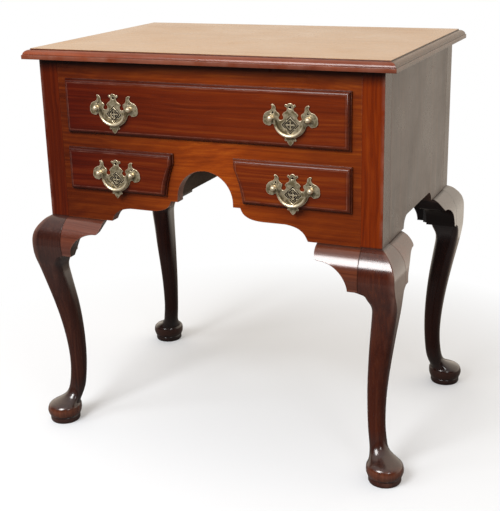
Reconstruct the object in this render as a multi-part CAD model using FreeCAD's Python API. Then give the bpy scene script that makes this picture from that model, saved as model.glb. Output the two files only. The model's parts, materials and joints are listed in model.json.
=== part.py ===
"""Lowboy: a small dressing table with one long drawer over two small ones.

Millimetres. Origin on the floor under the middle of the case, +X to the right hand of
someone facing the drawers, +Y towards the back, +Z up. The case front is at -Y.
Each leg is one stick: corner post above, cabriole knee, shaft and turned pad foot below.
The front, side and back boards are tenoned into the posts, the drawers are dovetailed,
and every bail hangs on two brass posts that go through a pierced plate and a drawer front.
"""
import FreeCAD, Part
import os

V = FreeCAD.Vector
SIN_45 = 0.70711

# ---------------------------------------------------------------- case
CASE_WIDTH = 620.0          # over the corner posts
CASE_DEPTH = 432.0          # over the corner posts
LEG_HEIGHT = 412.5          # floor to the underside of the case
CASE_HEIGHT = 280.9         # underside of the case to underside of the top
POST = 36.0                 # corner post, square
FRONT_T = 20.0              # front board thickness
SIDE_T = 16.0               # side panel thickness
BACK_T = 14.0               # back panel thickness
BACK_INSET = 2.0            # back panel behind the rear faces of the posts

# ---------------------------------------------------------------- top board
TOP_T = 17.6
TOP_BAND = 7.0              # height of the square band under the moulding
TOP_FILLET = 2.2            # upright fillet above the quarter round
TOP_STEP = 1.5              # level step between band and quarter round
TOP_MOULDING = 11.7         # edge moulding, measured inwards
OVERHANG_FRONT = 20.0
OVERHANG_SIDE = 22.5
OVERHANG_BACK = 13.5

# ---------------------------------------------------------------- openings in the front board
SMALL_SILL = 61.0           # case underside to the small drawer openings
SMALL_OPEN_H = 63.5
MID_RAIL = 37.0             # between the small openings and the long one
TOP_RAIL = 37.4             # long opening to the underside of the top
LONG_STILE = 22.0           # long opening to the post
SMALL_STILE = 20.0          # small opening to the post
ARCH_R = 51.5               # kneehole arch in the front board
ARCH_SPRING = 52.0          # case underside to the centre of the arch
ARCH_STILE = 25.5           # arch to the small opening

# ---------------------------------------------------------------- shaped lower edges
APRON_STEP_Z = 45.9         # case underside to the level step at the foot of the arch
APRON_STEP_W = 13.0
APRON_FLAT_Z = 25.5         # case underside to the level run of the apron
LOBE_W = 40.0               # rounded lobe beside the step
COVE_W = 39.0               # hollow beside the knee block
COVE_LAND = 16.0            # level run between hollow and knee block
SIDE_RISE = 20.0            # how far the side panel is cut up between its knee blocks
SIDE_LAND = 14.0            # level run between that cut and the knee block

# ---------------------------------------------------------------- leg
KNEE_PROUD = 29.0           # knee beyond the post face
KNEE_DROP = 68.0            # height of the knee and of its blocks
KNEE_FOOT_FRONT = 26.0      # bottom of the knee beyond the post's front face
KNEE_FOOT_SIDE = 29.8       # bottom of the knee beyond the post's side face
BLOCK_L = 74.0              # knee block, along the case
BLOCK_INNER = 26.0          # knee block, from the post face inwards
BLOCK_END_H = 6.0           # upright end of a knee block
BLOCK_NOSE_W = 6.0          # rounded nose below that end
BLOCK_NOSE_H = 14.5
BLOCK_TOE_W = 13.0          # level toe beside the leg
PAD_R = 28.2                # disc under the foot
PAD_H = 12.0
PAD_NECK_R = 26.5
PAD_TAPER = 1.5             # disc narrower at the floor
PAD_TAPER_H = 3.0
PAD_BEVEL_H = 2.5           # bevel from the disc up to its neck
FOOT_R = 32.5               # widest part of the foot
FOOT_OUT = 10.6             # foot centre outside the post's side face
FOOT_SET = 2.1              # foot centre behind the post's front face
FOOT_TOP = 48.0             # height of the foot, where the ankle starts
ANKLE_R = 14.8
SHAFT_SET = 12.9            # middle of the shaft inside the post's side face, where it is slimmest
SHAFT_BACK = 13.4           # that much further behind the post's front face
KNEE_ARRIS = 1.5            # corner rounds at the bottom of the knee

# ---------------------------------------------------------------- joints between boards
TENON_T = 8.0
TENON_L = 20.0
TENON_SHOULDER = 7.0        # board edge to the first tenon
SIDE_TENONS = 4
TENON_SPACE = 14.0          # gap between neighbouring tenons
TENON_GAP = 0.15            # clearance round a tenon
TENON_END_GAP = 1.0
HOUSING = 3.0               # runners, guides and partitions let into the back panel

# ---------------------------------------------------------------- inner woodwork
RUNNER_W = 20.0             # runner beyond the edge of its opening, under the drawer side
RUNNER_H = 14.0
GUIDE_H = 18.0
KICKER_H = 16.0
PARTITION_T = 12.7
INNER_RUNNER_W = 30.0
GLUE_BLOCK = 16.0
GLUE_BLOCK_L = 60.0
GLUE_BLOCK_X = 120.0        # front and back glue blocks, from the middle
GLUE_BLOCK_Y = 90.0         # side glue blocks, from the middle

# ---------------------------------------------------------------- drawers
DRAWER_SIDE_GAP = 0.8
DRAWER_TOP_GAP = 1.0
SLIDE_GAP = 0.3             # under a drawer, and behind its lip
LIP_OVERLAP = 6.0
LIP_BAND = 3.2              # square edge of the lip
LIP_STEP = 1.5              # level step between the lip's square edge and its quarter round
LIP_QUIRK = 0.8             # upright bit between that step and the quarter round
LIP_PROUD = 9.5             # lip beyond the case front
LIP_INNER_TOP = 21.5        # small drawer lip over the arch stile, at the top
LIP_INNER_STRAIGHT = 16.0   # upright part of that end
LIP_INNER_SAG = 2.2         # hollow of its sloping part
FRONT_BODY = 15.5           # drawer front behind the case front
DRAWER_SIDE_T = 10.0
DRAWER_BACK_T = 10.0
DRAWER_BACK_GAP = 14.0      # drawer back to back panel
DRAWER_BACK_DROP = 5.0      # drawer back below the drawer sides
BOTTOM_T = 6.0
BOTTOM_UP = 6.0             # drawer side's edge to the bottom
GROOVE = 5.0
GROOVE_GAP = 0.15
TAIL_L = 9.0                # dovetails into the drawer front
TAIL_NARROW = 10.0
TAIL_FLARE = 2.0            # each side
TAILS = 3

# ---------------------------------------------------------------- pulls
BORING = 63.5               # between the two posts of a pull
PLATE_MARGIN = 14.25        # plate beyond the middle of each post
PLATE_H = 67.5
LONG_PULL_IN = 92.0         # pull's middle from the end of the long opening
LONG_PULL_UP = 0.5          # pull axis above the middle of the long opening
SMALL_PULL_IN = 2.5         # pull's middle from the middle of the small opening, towards the arch
SMALL_PULL_DOWN = 3.2       # pull axis below the middle of a small opening
PLATE_T = 1.6
POST_HEAD_R = 4.6
POST_STANDOFF = 6.0         # plate face to bail axis
POST_NECK_R = 3.0
POST_COLLAR_R = 4.2
POST_COLLAR_T = 1.0
SHANK_R = 2.5
SHANK_GAP = 0.2
SHANK_TAIL = 2.5            # shank beyond its nut
NUT_SIDE = 9.0
NUT_T = 3.0
NUT_GAP = 0.05
BAIL_PIN_R = 1.3
BAIL_PIN_GAP = 0.08         # running clearance in the post head
BAIL_BEND_R = 2.6
BAIL_END_R = 1.7            # rod radius at the bail's shoulders
BAIL_SHOULDER_GAP = 0.3     # shoulder to the mouth of the hole in the post head
BAIL_MID_R = 2.6            # rod radius at the bottom of the bow
BEND_SECTIONS = 3           # rings that shape each bend
BOW_SECTIONS = 12           # rings that shape the bow, less one
FRET_DOWN = 10.4            # middle of the fret below the pull axis
FRET_BAR = 1.6              # bars of the fret's cross
FRET_SLOT = 2.2
FRET_DIAMOND = 7.6          # half diagonal of the pierced diamond
FRET_FRAME = 15.0           # half diagonal of the slotted diamond round it

# ---------------------------------------------------------------- worked out
HALF_W = CASE_WIDTH / 2
HALF_D = CASE_DEPTH / 2
CASE_BASE = LEG_HEIGHT
CASE_TOP = LEG_HEIGHT + CASE_HEIGHT
POST_X = HALF_W - POST                      # inner faces of the posts
POST_Y = HALF_D - POST
FRONT_IN = -HALF_D + FRONT_T                # inner face of the front board
SIDE_IN = HALF_W - SIDE_T
BACK_OUT = HALF_D - BACK_INSET
BACK_IN = BACK_OUT - BACK_T
SMALL_Z0 = CASE_BASE + SMALL_SILL
SMALL_Z1 = SMALL_Z0 + SMALL_OPEN_H
LONG_Z0 = SMALL_Z1 + MID_RAIL
LONG_Z1 = CASE_TOP - TOP_RAIL
LONG_X = POST_X - LONG_STILE
SMALL_X0 = ARCH_R + ARCH_STILE
SMALL_X1 = POST_X - SMALL_STILE
LIP_BACK_Y = -HALF_D - SLIDE_GAP
LIP_FACE_Y = -HALF_D - LIP_PROUD
FRONT_BODY_Y = -HALF_D + FRONT_BODY         # inner face of a drawer front
DRAWER_END_Y = BACK_IN - DRAWER_BACK_GAP
PLATE_FACE_Y = LIP_FACE_Y - PLATE_T
BAIL_AXIS_Y = PLATE_FACE_Y - POST_STANDOFF
BAIL_END_X = BORING / 2 - (POST_HEAD_R ** 2 - BAIL_END_R ** 2) ** 0.5 - BAIL_SHOULDER_GAP
BAIL_R = BAIL_END_X - BAIL_BEND_R           # centre line of the bail's bow
PLATE_HALF_W = BORING / 2 + PLATE_MARGIN
KNEE_BASE = CASE_BASE - KNEE_DROP
TENON_Y_FRONT = -HALF_D + FRONT_T / 2
TENON_Y_BACK = BACK_OUT - BACK_T / 2
TENON_X_SIDE = HALF_W - SIDE_T / 2


# ---------------------------------------------------------------- building blocks
def box(x0, x1, y0, y1, z0, z1):
    """Box between two corners."""
    return Part.makeBox(x1 - x0, y1 - y0, z1 - z0, V(x0, y0, z0))


def mirror_x(shape):
    return shape.mirror(V(0, 0, 0), V(1, 0, 0))


def mirror_y(shape):
    return shape.mirror(V(0, 0, 0), V(0, 1, 0))


def outline(start, steps, put):
    """Closed wire. A step of one point is straight, of two an arc, of more a smooth curve."""
    edges = []
    here = start
    for step in steps + [[start]]:
        points = [put(*p) for p in [here] + step]
        if points[0].isEqual(points[-1], 1e-6):
            continue
        if len(step) == 1:
            edges.append(Part.LineSegment(*points).toShape())
        elif len(step) == 2:
            edges.append(Part.Arc(*points).toShape())
        else:
            curve = Part.BSplineCurve()
            curve.interpolate(points)
            edges.append(curve.toShape())
        here = step[-1]
    return Part.Wire(edges)


def prism_xz(start, steps, y0, y1):
    """Outline drawn from the front, run from y0 to y1."""
    wire = outline(start, steps, lambda a, b: V(a, y0, b))
    return Part.Face(wire).extrude(V(0, y1 - y0, 0))


def prism_yz(start, steps, x0, x1):
    """Outline drawn from the side, run from x0 to x1."""
    wire = outline(start, steps, lambda a, b: V(x0, a, b))
    return Part.Face(wire).extrude(V(x1 - x0, 0, 0))


def joined(shapes):
    """One solid out of pieces that touch or overlap."""
    whole = shapes[0]
    for shape in shapes[1:]:
        whole = whole.fuse(shape)
    return whole.removeSplitter()


def minus(shape, tools):
    for tool in tools:
        shape = shape.cut(tool)
    return shape


# ---------------------------------------------------------------- tenons
def side_tenon_spans():
    """Heights of the tenons on a side or back panel, evenly spread over the case."""
    usable = CASE_HEIGHT - 2 * TENON_SHOULDER - (SIDE_TENONS - 1) * TENON_SPACE
    height = usable / SIDE_TENONS
    low = CASE_BASE + TENON_SHOULDER
    return [(low + n * (height + TENON_SPACE), low + n * (height + TENON_SPACE) + height)
            for n in range(SIDE_TENONS)]


def front_tenon_spans():
    """Heights of the tenons on the front board, one behind each rail."""
    rails = ((CASE_BASE, SMALL_Z0), (SMALL_Z1, LONG_Z0), (LONG_Z1, CASE_TOP))
    return [(low + TENON_SHOULDER, high - TENON_SHOULDER) for low, high in rails]


def cross_tenons(spans, y_mid, gap=0.0, end_gap=0.0):
    """Tenons at the right-hand end of a board that runs along X."""
    half = TENON_T / 2 + gap
    return [box(POST_X - gap, POST_X + TENON_L + end_gap, y_mid - half, y_mid + half, low - gap, high + gap)
            for low, high in spans]


def depth_tenons(gap=0.0, end_gap=0.0):
    """Tenons at the front end of the right-hand side panel."""
    half = TENON_T / 2 + gap
    return [box(TENON_X_SIDE - half, TENON_X_SIDE + half, -POST_Y - TENON_L - end_gap, -POST_Y + gap,
                low - gap, high + gap)
            for low, high in side_tenon_spans()]


# ---------------------------------------------------------------- top, boards and panels
def top_edge(edge_low, edge_high):
    """Start and steps of the top's section: band, step, quarter round, fillet on both edges."""
    band = CASE_TOP + TOP_BAND
    fillet = CASE_TOP + TOP_T - TOP_FILLET
    reach = TOP_MOULDING - TOP_STEP
    rise = fillet - band
    left = edge_low + TOP_STEP
    right = edge_high - TOP_STEP
    steps = [
        [(edge_high, CASE_TOP)],
        [(edge_high, band)],
        [(right, band)],
        [(right - reach * (1 - SIN_45), band + rise * SIN_45), (right - reach, fillet)],
        [(right - reach, CASE_TOP + TOP_T)],
        [(left + reach, CASE_TOP + TOP_T)],
        [(left + reach, fillet)],
        [(left + reach * (1 - SIN_45), band + rise * SIN_45), (left, band)],
        [(edge_low, band)],
    ]
    return (edge_low, CASE_TOP), steps


def top_board():
    x_edge = HALF_W + OVERHANG_SIDE
    y_front = -HALF_D - OVERHANG_FRONT
    y_back = HALF_D + OVERHANG_BACK
    along_y = prism_xz(*top_edge(-x_edge, x_edge), y_front, y_back)
    along_x = prism_yz(*top_edge(y_front, y_back), -x_edge, x_edge)
    return along_y.common(along_x)


def apron_steps():
    """Right-hand half of the front board's outline, from the arch's crown to the top middle."""
    spring = CASE_BASE + ARCH_SPRING
    step_z = CASE_BASE + APRON_STEP_Z
    flat_z = CASE_BASE + APRON_FLAT_Z
    lobe_x = ARCH_R + APRON_STEP_W
    cove_x = POST_X - BLOCK_L - COVE_LAND
    lobe_h = step_z - flat_z
    return [
        [(ARCH_R * SIN_45, spring + ARCH_R * SIN_45), (ARCH_R, spring)],
        [(ARCH_R, step_z)],
        [(lobe_x, step_z)],
        [(lobe_x + LOBE_W * 0.11, step_z - lobe_h * 0.42), (lobe_x + LOBE_W * 0.36, step_z - lobe_h * 0.78),
         (lobe_x + LOBE_W, flat_z)],
        [(cove_x - COVE_W, flat_z)],
        [(cove_x - COVE_W * 0.57, flat_z - APRON_FLAT_Z * 0.13),
         (cove_x - COVE_W * 0.2, flat_z - APRON_FLAT_Z * 0.48), (cove_x, CASE_BASE)],
        [(POST_X, CASE_BASE)],
        [(POST_X, CASE_TOP)],
        [(0, CASE_TOP)],
    ]


def front_board():
    """Front board: shaped lower edge with the kneehole arch, and three drawer openings."""
    crown = (0, CASE_BASE + ARCH_SPRING + ARCH_R)
    half = prism_xz(crown, apron_steps(), -HALF_D, FRONT_IN)
    half = joined([half] + cross_tenons(front_tenon_spans(), TENON_Y_FRONT))
    half = half.cut(box(SMALL_X0, SMALL_X1, -HALF_D - 1, FRONT_IN + 1, SMALL_Z0, SMALL_Z1))
    board = joined([half, mirror_x(half)])
    return board.cut(box(-LONG_X, LONG_X, -HALF_D - 1, FRONT_IN + 1, LONG_Z0, LONG_Z1))


def side_panel():
    """Right-hand side panel, its lower edge cut up in a low arch between the knee blocks."""
    arch_y = POST_Y - BLOCK_L - SIDE_LAND
    top_y = arch_y - SIDE_RISE
    high = CASE_BASE + SIDE_RISE
    bow = SIDE_RISE * SIN_45
    steps = [
        [(-arch_y, CASE_BASE)],
        [(-top_y - bow, CASE_BASE + bow), (-top_y, high)],
        [(top_y, high)],
        [(top_y + bow, CASE_BASE + bow), (arch_y, CASE_BASE)],
        [(POST_Y, CASE_BASE)],
        [(POST_Y, CASE_TOP)],
        [(-POST_Y, CASE_TOP)],
    ]
    panel = prism_yz((-POST_Y, CASE_BASE), steps, SIDE_IN, HALF_W)
    tenons = depth_tenons()
    return joined([panel] + tenons + [mirror_y(tenon) for tenon in tenons])


def back_panel(housed):
    """Back panel with its tenons, and a housing for each piece that is let into it."""
    panel = box(-POST_X, POST_X, BACK_IN, BACK_OUT, CASE_BASE, CASE_TOP)
    tenons = cross_tenons(side_tenon_spans(), TENON_Y_BACK)
    panel = joined([panel] + tenons + [mirror_x(tenon) for tenon in tenons])
    return minus(panel, housed)


# ---------------------------------------------------------------- legs and knee blocks
def knee_points(foot_proud):
    """Smooth face of the knee, as (beyond the post face, height), from the case down."""
    spread = ((0.24, 0.05), (0.55, 0.17), (0.83, 0.345), (0.975, 0.55), (1.0, 0.74))
    points = [(KNEE_PROUD * out, CASE_BASE - KNEE_DROP * down) for out, down in spread]
    return points + [(foot_proud, KNEE_BASE)]


def knee_prism_x(x0, x1, inner):
    """Knee section of the front, run along X; inner is its depth behind the post face."""
    steps = [[(-HALF_D - out, z) for out, z in knee_points(KNEE_FOOT_FRONT)],
             [(-HALF_D + inner, KNEE_BASE)], [(-HALF_D + inner, CASE_BASE)]]
    return prism_yz((-HALF_D, CASE_BASE), steps, x0, x1)


def knee_prism_y(y0, y1, inner):
    """Knee section of the right-hand side, run along Y."""
    steps = [[(HALF_W + out, z) for out, z in knee_points(KNEE_FOOT_SIDE)],
             [(HALF_W - inner, KNEE_BASE)], [(HALF_W - inner, CASE_BASE)]]
    return prism_xz((HALF_W, CASE_BASE), steps, y0, y1)


def block_steps(post_edge, towards):
    """Start and steps of a knee block's shape, from the post's edge; towards is -1 or 1."""
    def at(along, z):
        return (post_edge + towards * along, z)
    nose_z = CASE_BASE - BLOCK_END_H
    hollow_w = BLOCK_L - BLOCK_NOSE_W - BLOCK_TOE_W
    hollow_h = nose_z - BLOCK_NOSE_H - KNEE_BASE
    start = at(0, CASE_BASE)
    nose_end = at(BLOCK_L - BLOCK_NOSE_W, nose_z - BLOCK_NOSE_H)
    steps = [
        [at(BLOCK_L, CASE_BASE)],
        [at(BLOCK_L, nose_z)],
        [at(BLOCK_L - BLOCK_NOSE_W * (1 - SIN_45), nose_z - BLOCK_NOSE_H * SIN_45), nose_end],
        [at(BLOCK_TOE_W + hollow_w * (1 - SIN_45), KNEE_BASE + hollow_h * SIN_45),
         at(BLOCK_TOE_W, KNEE_BASE)],
        [at(0, KNEE_BASE)],
    ]
    return start, steps


def knee_block_front():
    """Right-hand knee block under the front board."""
    roll = knee_prism_x(POST_X - BLOCK_L, POST_X, BLOCK_INNER)
    shape = prism_xz(*block_steps(POST_X, -1), -HALF_D - KNEE_PROUD * 2, -HALF_D + BLOCK_INNER)
    return roll.common(shape)


def knee_block_side():
    """Front knee block under the right-hand side panel."""
    roll = knee_prism_y(-POST_Y, -POST_Y + BLOCK_L, BLOCK_INNER)
    shape = prism_yz(*block_steps(-POST_Y, 1), HALF_W - BLOCK_INNER, HALF_W + KNEE_PROUD * 2)
    return roll.common(shape)


def leg_section(side, front, z, outer_round, other_round):
    """Section of the front right leg, square or oblong with rounded corners.

    Side and front are each a pair of distances, inner and outer, outside the post's side face
    and outside its front face.
    """
    x0, x1 = HALF_W + side[0], HALF_W + side[1]
    y0, y1 = -HALF_D - front[1], -HALF_D - front[0]
    corners = ((x1, y0, outer_round, -1, 1), (x1, y1, other_round, -1, -1),
               (x0, y1, other_round, 1, -1), (x0, y0, other_round, 1, 1))
    bow = 1 - SIN_45
    ends = []
    for n, (x, y, r, inward_x, inward_y) in enumerate(corners):
        along_x = V(x + inward_x * r, y, z)
        along_y = V(x, y + inward_y * r, z)
        middle = V(x + inward_x * r * bow, y + inward_y * r * bow, z)
        pair = (along_x, middle, along_y) if n % 2 == 0 else (along_y, middle, along_x)
        ends.append(pair)
    edges = []
    for n, (first, middle, last) in enumerate(ends):
        edges.append(Part.Arc(first, middle, last).toShape())
        edges.append(Part.LineSegment(last, ends[(n + 1) % 4][0]).toShape())
    return Part.Wire(edges)


def foot_sections():
    """Nearly round sections of the foot from the disc's neck to the ankle.

    A station is the part of the way up, the part of the way that the centre has moved in
    to the ankle, and the radius as a share of the foot's.
    """
    ankle_in = FOOT_OUT - FOOT_R + ANKLE_R
    stations = (
        (0.0, 0.0, 0.889), (0.14, 0.0, 0.954), (0.28, 0.0, 0.985), (0.44, 0.028, 0.972),
        (0.54, 0.056, 0.942), (0.63, 0.102, 0.865), (0.8, 0.407, 0.686), (1.0, 0.757, 0.535),
    )
    sections = []
    for up, shift, size in stations:
        z = PAD_H + (FOOT_TOP - PAD_H) * up
        across = FOOT_OUT + (ankle_in - FOOT_OUT) * shift
        ahead = across - FOOT_OUT - FOOT_SET
        radius = FOOT_R * size
        almost = radius * 0.985
        sections.append(leg_section((across - radius, across + radius), (ahead - radius, ahead + radius),
                                    z, almost, almost))
    return sections


def shaft_sections():
    """Shaft from ankle to knee.

    A station is the part of the way up, the centre inside the side face as a share of
    SHAFT_SET, how much further it is behind the front face as a share of SHAFT_BACK, the
    half width as a share of the ankle's radius, and the corner rounds as shares of the
    half width: outer, others.
    """
    stations = (
        (0.044, 0.605, 1.037, 1.02, 0.96, 0.96), (0.11, 0.845, 1.007, 1.007, 0.97, 0.97),
        (0.22, 1.0, 1.0, 1.027, 0.95, 0.95), (0.35, 0.961, 1.022, 1.108, 0.87, 0.93),
        (0.515, 0.659, 1.119, 1.223, 0.68, 0.85), (0.65, 0.271, 1.142, 1.318, 0.54, 0.78),
        (0.77, -0.147, 1.097, 1.392, 0.44, 0.74), (0.85, -0.44, 1.067, 1.432, 0.35, 0.65),
        (0.92, -0.535, 0.86, 1.547, 0.26, 0.53), (0.965, -0.349, 0.53, 1.743, 0.16, 0.32),
        (0.989, -0.116, 0.358, 1.926, 0.1, 0.15),
    )
    length = KNEE_BASE - FOOT_TOP
    sections = []
    for up, inside, further, width, outer_share, other_share in stations:
        half = ANKLE_R * width
        across = -SHAFT_SET * inside
        ahead = across - SHAFT_BACK * further
        sections.append(leg_section((across - half, across + half), (ahead - half, ahead + half),
                                    FOOT_TOP + length * up, half * outer_share, half * other_share))
    return sections + [leg_section((-POST, KNEE_FOOT_SIDE), (-POST, KNEE_FOOT_FRONT), KNEE_BASE,
                                   KNEE_ARRIS, KNEE_ARRIS)]


def leg_blank():
    """Front right leg without mortises: disc, foot and shaft, knee, post."""
    centre = V(HALF_W + FOOT_OUT, -HALF_D + FOOT_SET, 0)
    straight = PAD_H - PAD_TAPER_H - PAD_BEVEL_H
    disc = [
        Part.makeCone(PAD_R - PAD_TAPER, PAD_R, PAD_TAPER_H, centre),
        Part.makeCylinder(PAD_R, straight, centre + V(0, 0, PAD_TAPER_H)),
        Part.makeCone(PAD_R, PAD_NECK_R, PAD_BEVEL_H, centre + V(0, 0, PAD_H - PAD_BEVEL_H)),
    ]
    lower = Part.makeLoft(foot_sections() + shaft_sections(), True, False)
    knee = knee_prism_x(POST_X, HALF_W + KNEE_PROUD * 2, POST).common(
        knee_prism_y(-HALF_D - KNEE_PROUD * 2, -POST_Y, POST))
    post = box(POST_X, HALF_W, -HALF_D, -POST_Y, CASE_BASE, CASE_TOP)
    return joined(disc + [lower, knee, post])


def front_leg():
    """Front right leg, mortised for the front board and the side panel."""
    mortises = cross_tenons(front_tenon_spans(), TENON_Y_FRONT, TENON_GAP, TENON_END_GAP)
    mortises += depth_tenons(TENON_GAP, TENON_END_GAP)
    return minus(leg_blank(), mortises)


def back_leg():
    """Back right leg, mortised for the back panel and the side panel."""
    mortises = cross_tenons(side_tenon_spans(), TENON_Y_BACK, TENON_GAP, TENON_END_GAP)
    mortises += [mirror_y(tenon) for tenon in depth_tenons(TENON_GAP, TENON_END_GAP)]
    return minus(mirror_y(leg_blank()), mortises)


# ---------------------------------------------------------------- inner woodwork
def strip(x_edge, z0, z1):
    """Strip on the right-hand side panel, from x_edge out, notched round the posts."""
    long_part = box(x_edge, POST_X, FRONT_IN, BACK_IN + HOUSING, z0, z1)
    middle = box(POST_X, SIDE_IN, -POST_Y, POST_Y, z0, z1)
    return joined([long_part, middle])


def glue_blocks():
    """Eight three-cornered blocks under the top, behind the front, back and side boards."""
    legs = ((0, 0), (GLUE_BLOCK, 0), (0, -GLUE_BLOCK))
    half = GLUE_BLOCK_L / 2
    solids = []
    for x in (-GLUE_BLOCK_X, GLUE_BLOCK_X):
        for wall, inward in ((FRONT_IN, 1), (BACK_IN, -1)):
            points = [(wall + inward * along, CASE_TOP + up) for along, up in legs]
            solids.append(prism_yz(points[0], [[points[1]], [points[2]]], x - half, x + half))
    for y in (-GLUE_BLOCK_Y, GLUE_BLOCK_Y):
        for wall, inward in ((-SIDE_IN, 1), (SIDE_IN, -1)):
            points = [(wall + inward * along, CASE_TOP + up) for along, up in legs]
            solids.append(prism_xz(points[0], [[points[1]], [points[2]]], y - half, y + half))
    return Part.makeCompound(solids)


# ---------------------------------------------------------------- drawers
def tails(x0, x1, z0, z1, root_y, tip_y):
    """Dovetails on a drawer side's end, from root_y out to tip_y."""
    pitch = (z1 - z0) / TAILS
    solids = []
    for n in range(TAILS):
        middle = z0 + pitch * (n + 0.5)
        root = TAIL_NARROW / 2
        tip = root + TAIL_FLARE
        steps = [[(root_y, middle + root)], [(tip_y, middle + tip)], [(tip_y, middle - tip)]]
        solids.append(prism_yz((root_y, middle - root), steps, x0, x1))
    return solids


def drawer_side(x0, x1, z0, z1):
    """Drawer side with a row of tails at each end, not yet grooved."""
    back_root = DRAWER_END_Y - DRAWER_BACK_T
    board = box(x0, x1, FRONT_BODY_Y, back_root, z0, z1)
    front_tails = tails(x0, x1, z0, z1, FRONT_BODY_Y, FRONT_BODY_Y - TAIL_L)
    back_tails = tails(x0, x1, z0, z1, back_root, DRAWER_END_Y)
    return joined([board] + front_tails + back_tails)


def lip_front(start, steps, inset_start, inset_steps):
    """Lipped front: a square band, and on it a raised field with a quarter-round edge."""
    band = prism_xz(start, steps, LIP_BACK_Y - LIP_BAND, LIP_BACK_Y)
    field = prism_xz(inset_start, inset_steps, LIP_FACE_Y, LIP_BACK_Y - LIP_BAND)
    edges = [edge for edge in field.Edges
             if all(abs(vertex.Point.y - LIP_FACE_Y) < 0.001 for vertex in edge.Vertexes)]
    quarter_round = LIP_PROUD - SLIDE_GAP - LIP_BAND - LIP_QUIRK
    return band.fuse(field.makeFillet(quarter_round, edges))


def long_lip():
    """Lip of the long drawer, overlapping its opening all round."""
    def rectangle(inset):
        beyond = LIP_OVERLAP - inset
        x, low, high = LONG_X + beyond, LONG_Z0 - beyond, LONG_Z1 + beyond
        return (-x, low), [[(x, low)], [(x, high)], [(-x, high)]]
    return lip_front(*rectangle(0), *rectangle(LIP_STEP))


def small_lip():
    """Lip of the right-hand small drawer; its inner end slopes away from the arch."""
    def shape(inset):
        low = SMALL_Z0 - LIP_OVERLAP + inset
        high = SMALL_Z1 + LIP_OVERLAP - inset
        outer = SMALL_X1 + LIP_OVERLAP - inset
        top_in = SMALL_X0 - LIP_INNER_TOP + inset
        low_in = SMALL_X0 - LIP_OVERLAP + inset
        shoulder = SMALL_Z1 + LIP_OVERLAP - LIP_INNER_STRAIGHT - inset / 2
        hollow = ((top_in + low_in) / 2 + LIP_INNER_SAG, (shoulder + low) / 2)
        steps = [[(outer, high)], [(top_in, high)], [(top_in, shoulder)], [hollow, (low_in, low)]]
        return (outer, low), steps
    return lip_front(*shape(0), *shape(LIP_STEP))


def pull_holes(pull_x, pull_z):
    """Holes through a drawer front for the posts of one pull."""
    length = FRONT_BODY_Y - LIP_FACE_Y + 2
    return [Part.makeCylinder(SHANK_R + SHANK_GAP, length,
                              V(pull_x + end * BORING / 2, LIP_FACE_Y - 1, pull_z), V(0, 1, 0))
            for end in (-1, 1)]


def drawer(open_x0, open_x1, open_z0, open_z1, lip, pulls):
    """All five boards of a drawer for an opening; lip is its front's outer part."""
    x0, x1 = open_x0 + DRAWER_SIDE_GAP, open_x1 - DRAWER_SIDE_GAP
    z0, z1 = open_z0 + SLIDE_GAP, open_z1 - DRAWER_TOP_GAP
    left = drawer_side(x0, x0 + DRAWER_SIDE_T, z0, z1)
    right = drawer_side(x1 - DRAWER_SIDE_T, x1, z0, z1)
    floor_z = z0 + BOTTOM_UP
    in0, in1 = x0 + DRAWER_SIDE_T - GROOVE, x1 - DRAWER_SIDE_T + GROOVE
    groove = box(in0, in1, FRONT_BODY_Y - GROOVE, DRAWER_END_Y + 1, floor_z, floor_z + BOTTOM_T)
    bottom = box(in0 + GROOVE_GAP, in1 - GROOVE_GAP, FRONT_BODY_Y - GROOVE + GROOVE_GAP, DRAWER_END_Y,
                 floor_z, floor_z + BOTTOM_T - GROOVE_GAP)
    front = lip.fuse(box(x0, x1, LIP_BACK_Y, FRONT_BODY_Y, z0, z1)).removeSplitter()
    front = minus(front, [left, right, groove] + pulls)
    back = box(x0, x1, DRAWER_END_Y - DRAWER_BACK_T, DRAWER_END_Y, floor_z + BOTTOM_T, z1 - DRAWER_BACK_DROP)
    back = minus(back, [left, right])
    return {"front": front, "side_left": left.cut(groove), "side_right": right.cut(groove),
            "back": back, "bottom": bottom}


# ---------------------------------------------------------------- pulls
def on_plate(across, up):
    """Point of a pull plate about the middle of its posts; shares of its half width and height."""
    return across * PLATE_HALF_W, up * PLATE_H


def plate_half():
    """Right-hand half of a pull plate's outline, as shares, from the crown to the tip."""
    crown = (0.0, 0.359)
    steps = [
        [(0.078, 0.344), (0.113, 0.305)],
        [(0.157, 0.332), (0.2, 0.305)],
        [(0.183, 0.276), (0.135, 0.267)],
        [(0.117, 0.215), (0.165, 0.163)],
        [(0.226, 0.136), (0.296, 0.08)],
        [(0.274, -0.024), (0.346, -0.047)],
        [(0.422, -0.024), (0.413, 0.039)],
        [(0.396, 0.083), (0.426, 0.119)],
        [(0.5, 0.154), (0.535, 0.231)],
        [(0.578, 0.299), (0.665, 0.32)],
        [(0.704, 0.302), (0.674, 0.276)],
        [(0.691, 0.21), (0.813, 0.151)],
        [(0.965, 0.074), (1.0, -0.03)],
        [(0.983, -0.127), (0.848, -0.178)],
        [(0.757, -0.184), (0.691, -0.142)],
        [(0.617, -0.151), (0.57, -0.187)],
        [(0.461, -0.323), (0.27, -0.418)],
        [(0.217, -0.441), (0.161, -0.459)],
        [(0.191, -0.48), (0.213, -0.516)],
        [(0.174, -0.536), (0.135, -0.513)],
        [(0.1, -0.572), (0.0, -0.641)],
    ]
    return on_plate(*crown), [[on_plate(*point) for point in step] for step in steps]


def diamond(centre_z, size):
    """Corners of a diamond about the plate's middle line."""
    return [(0, centre_z + size), (size, centre_z), (0, centre_z - size), (-size, centre_z)]


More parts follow.
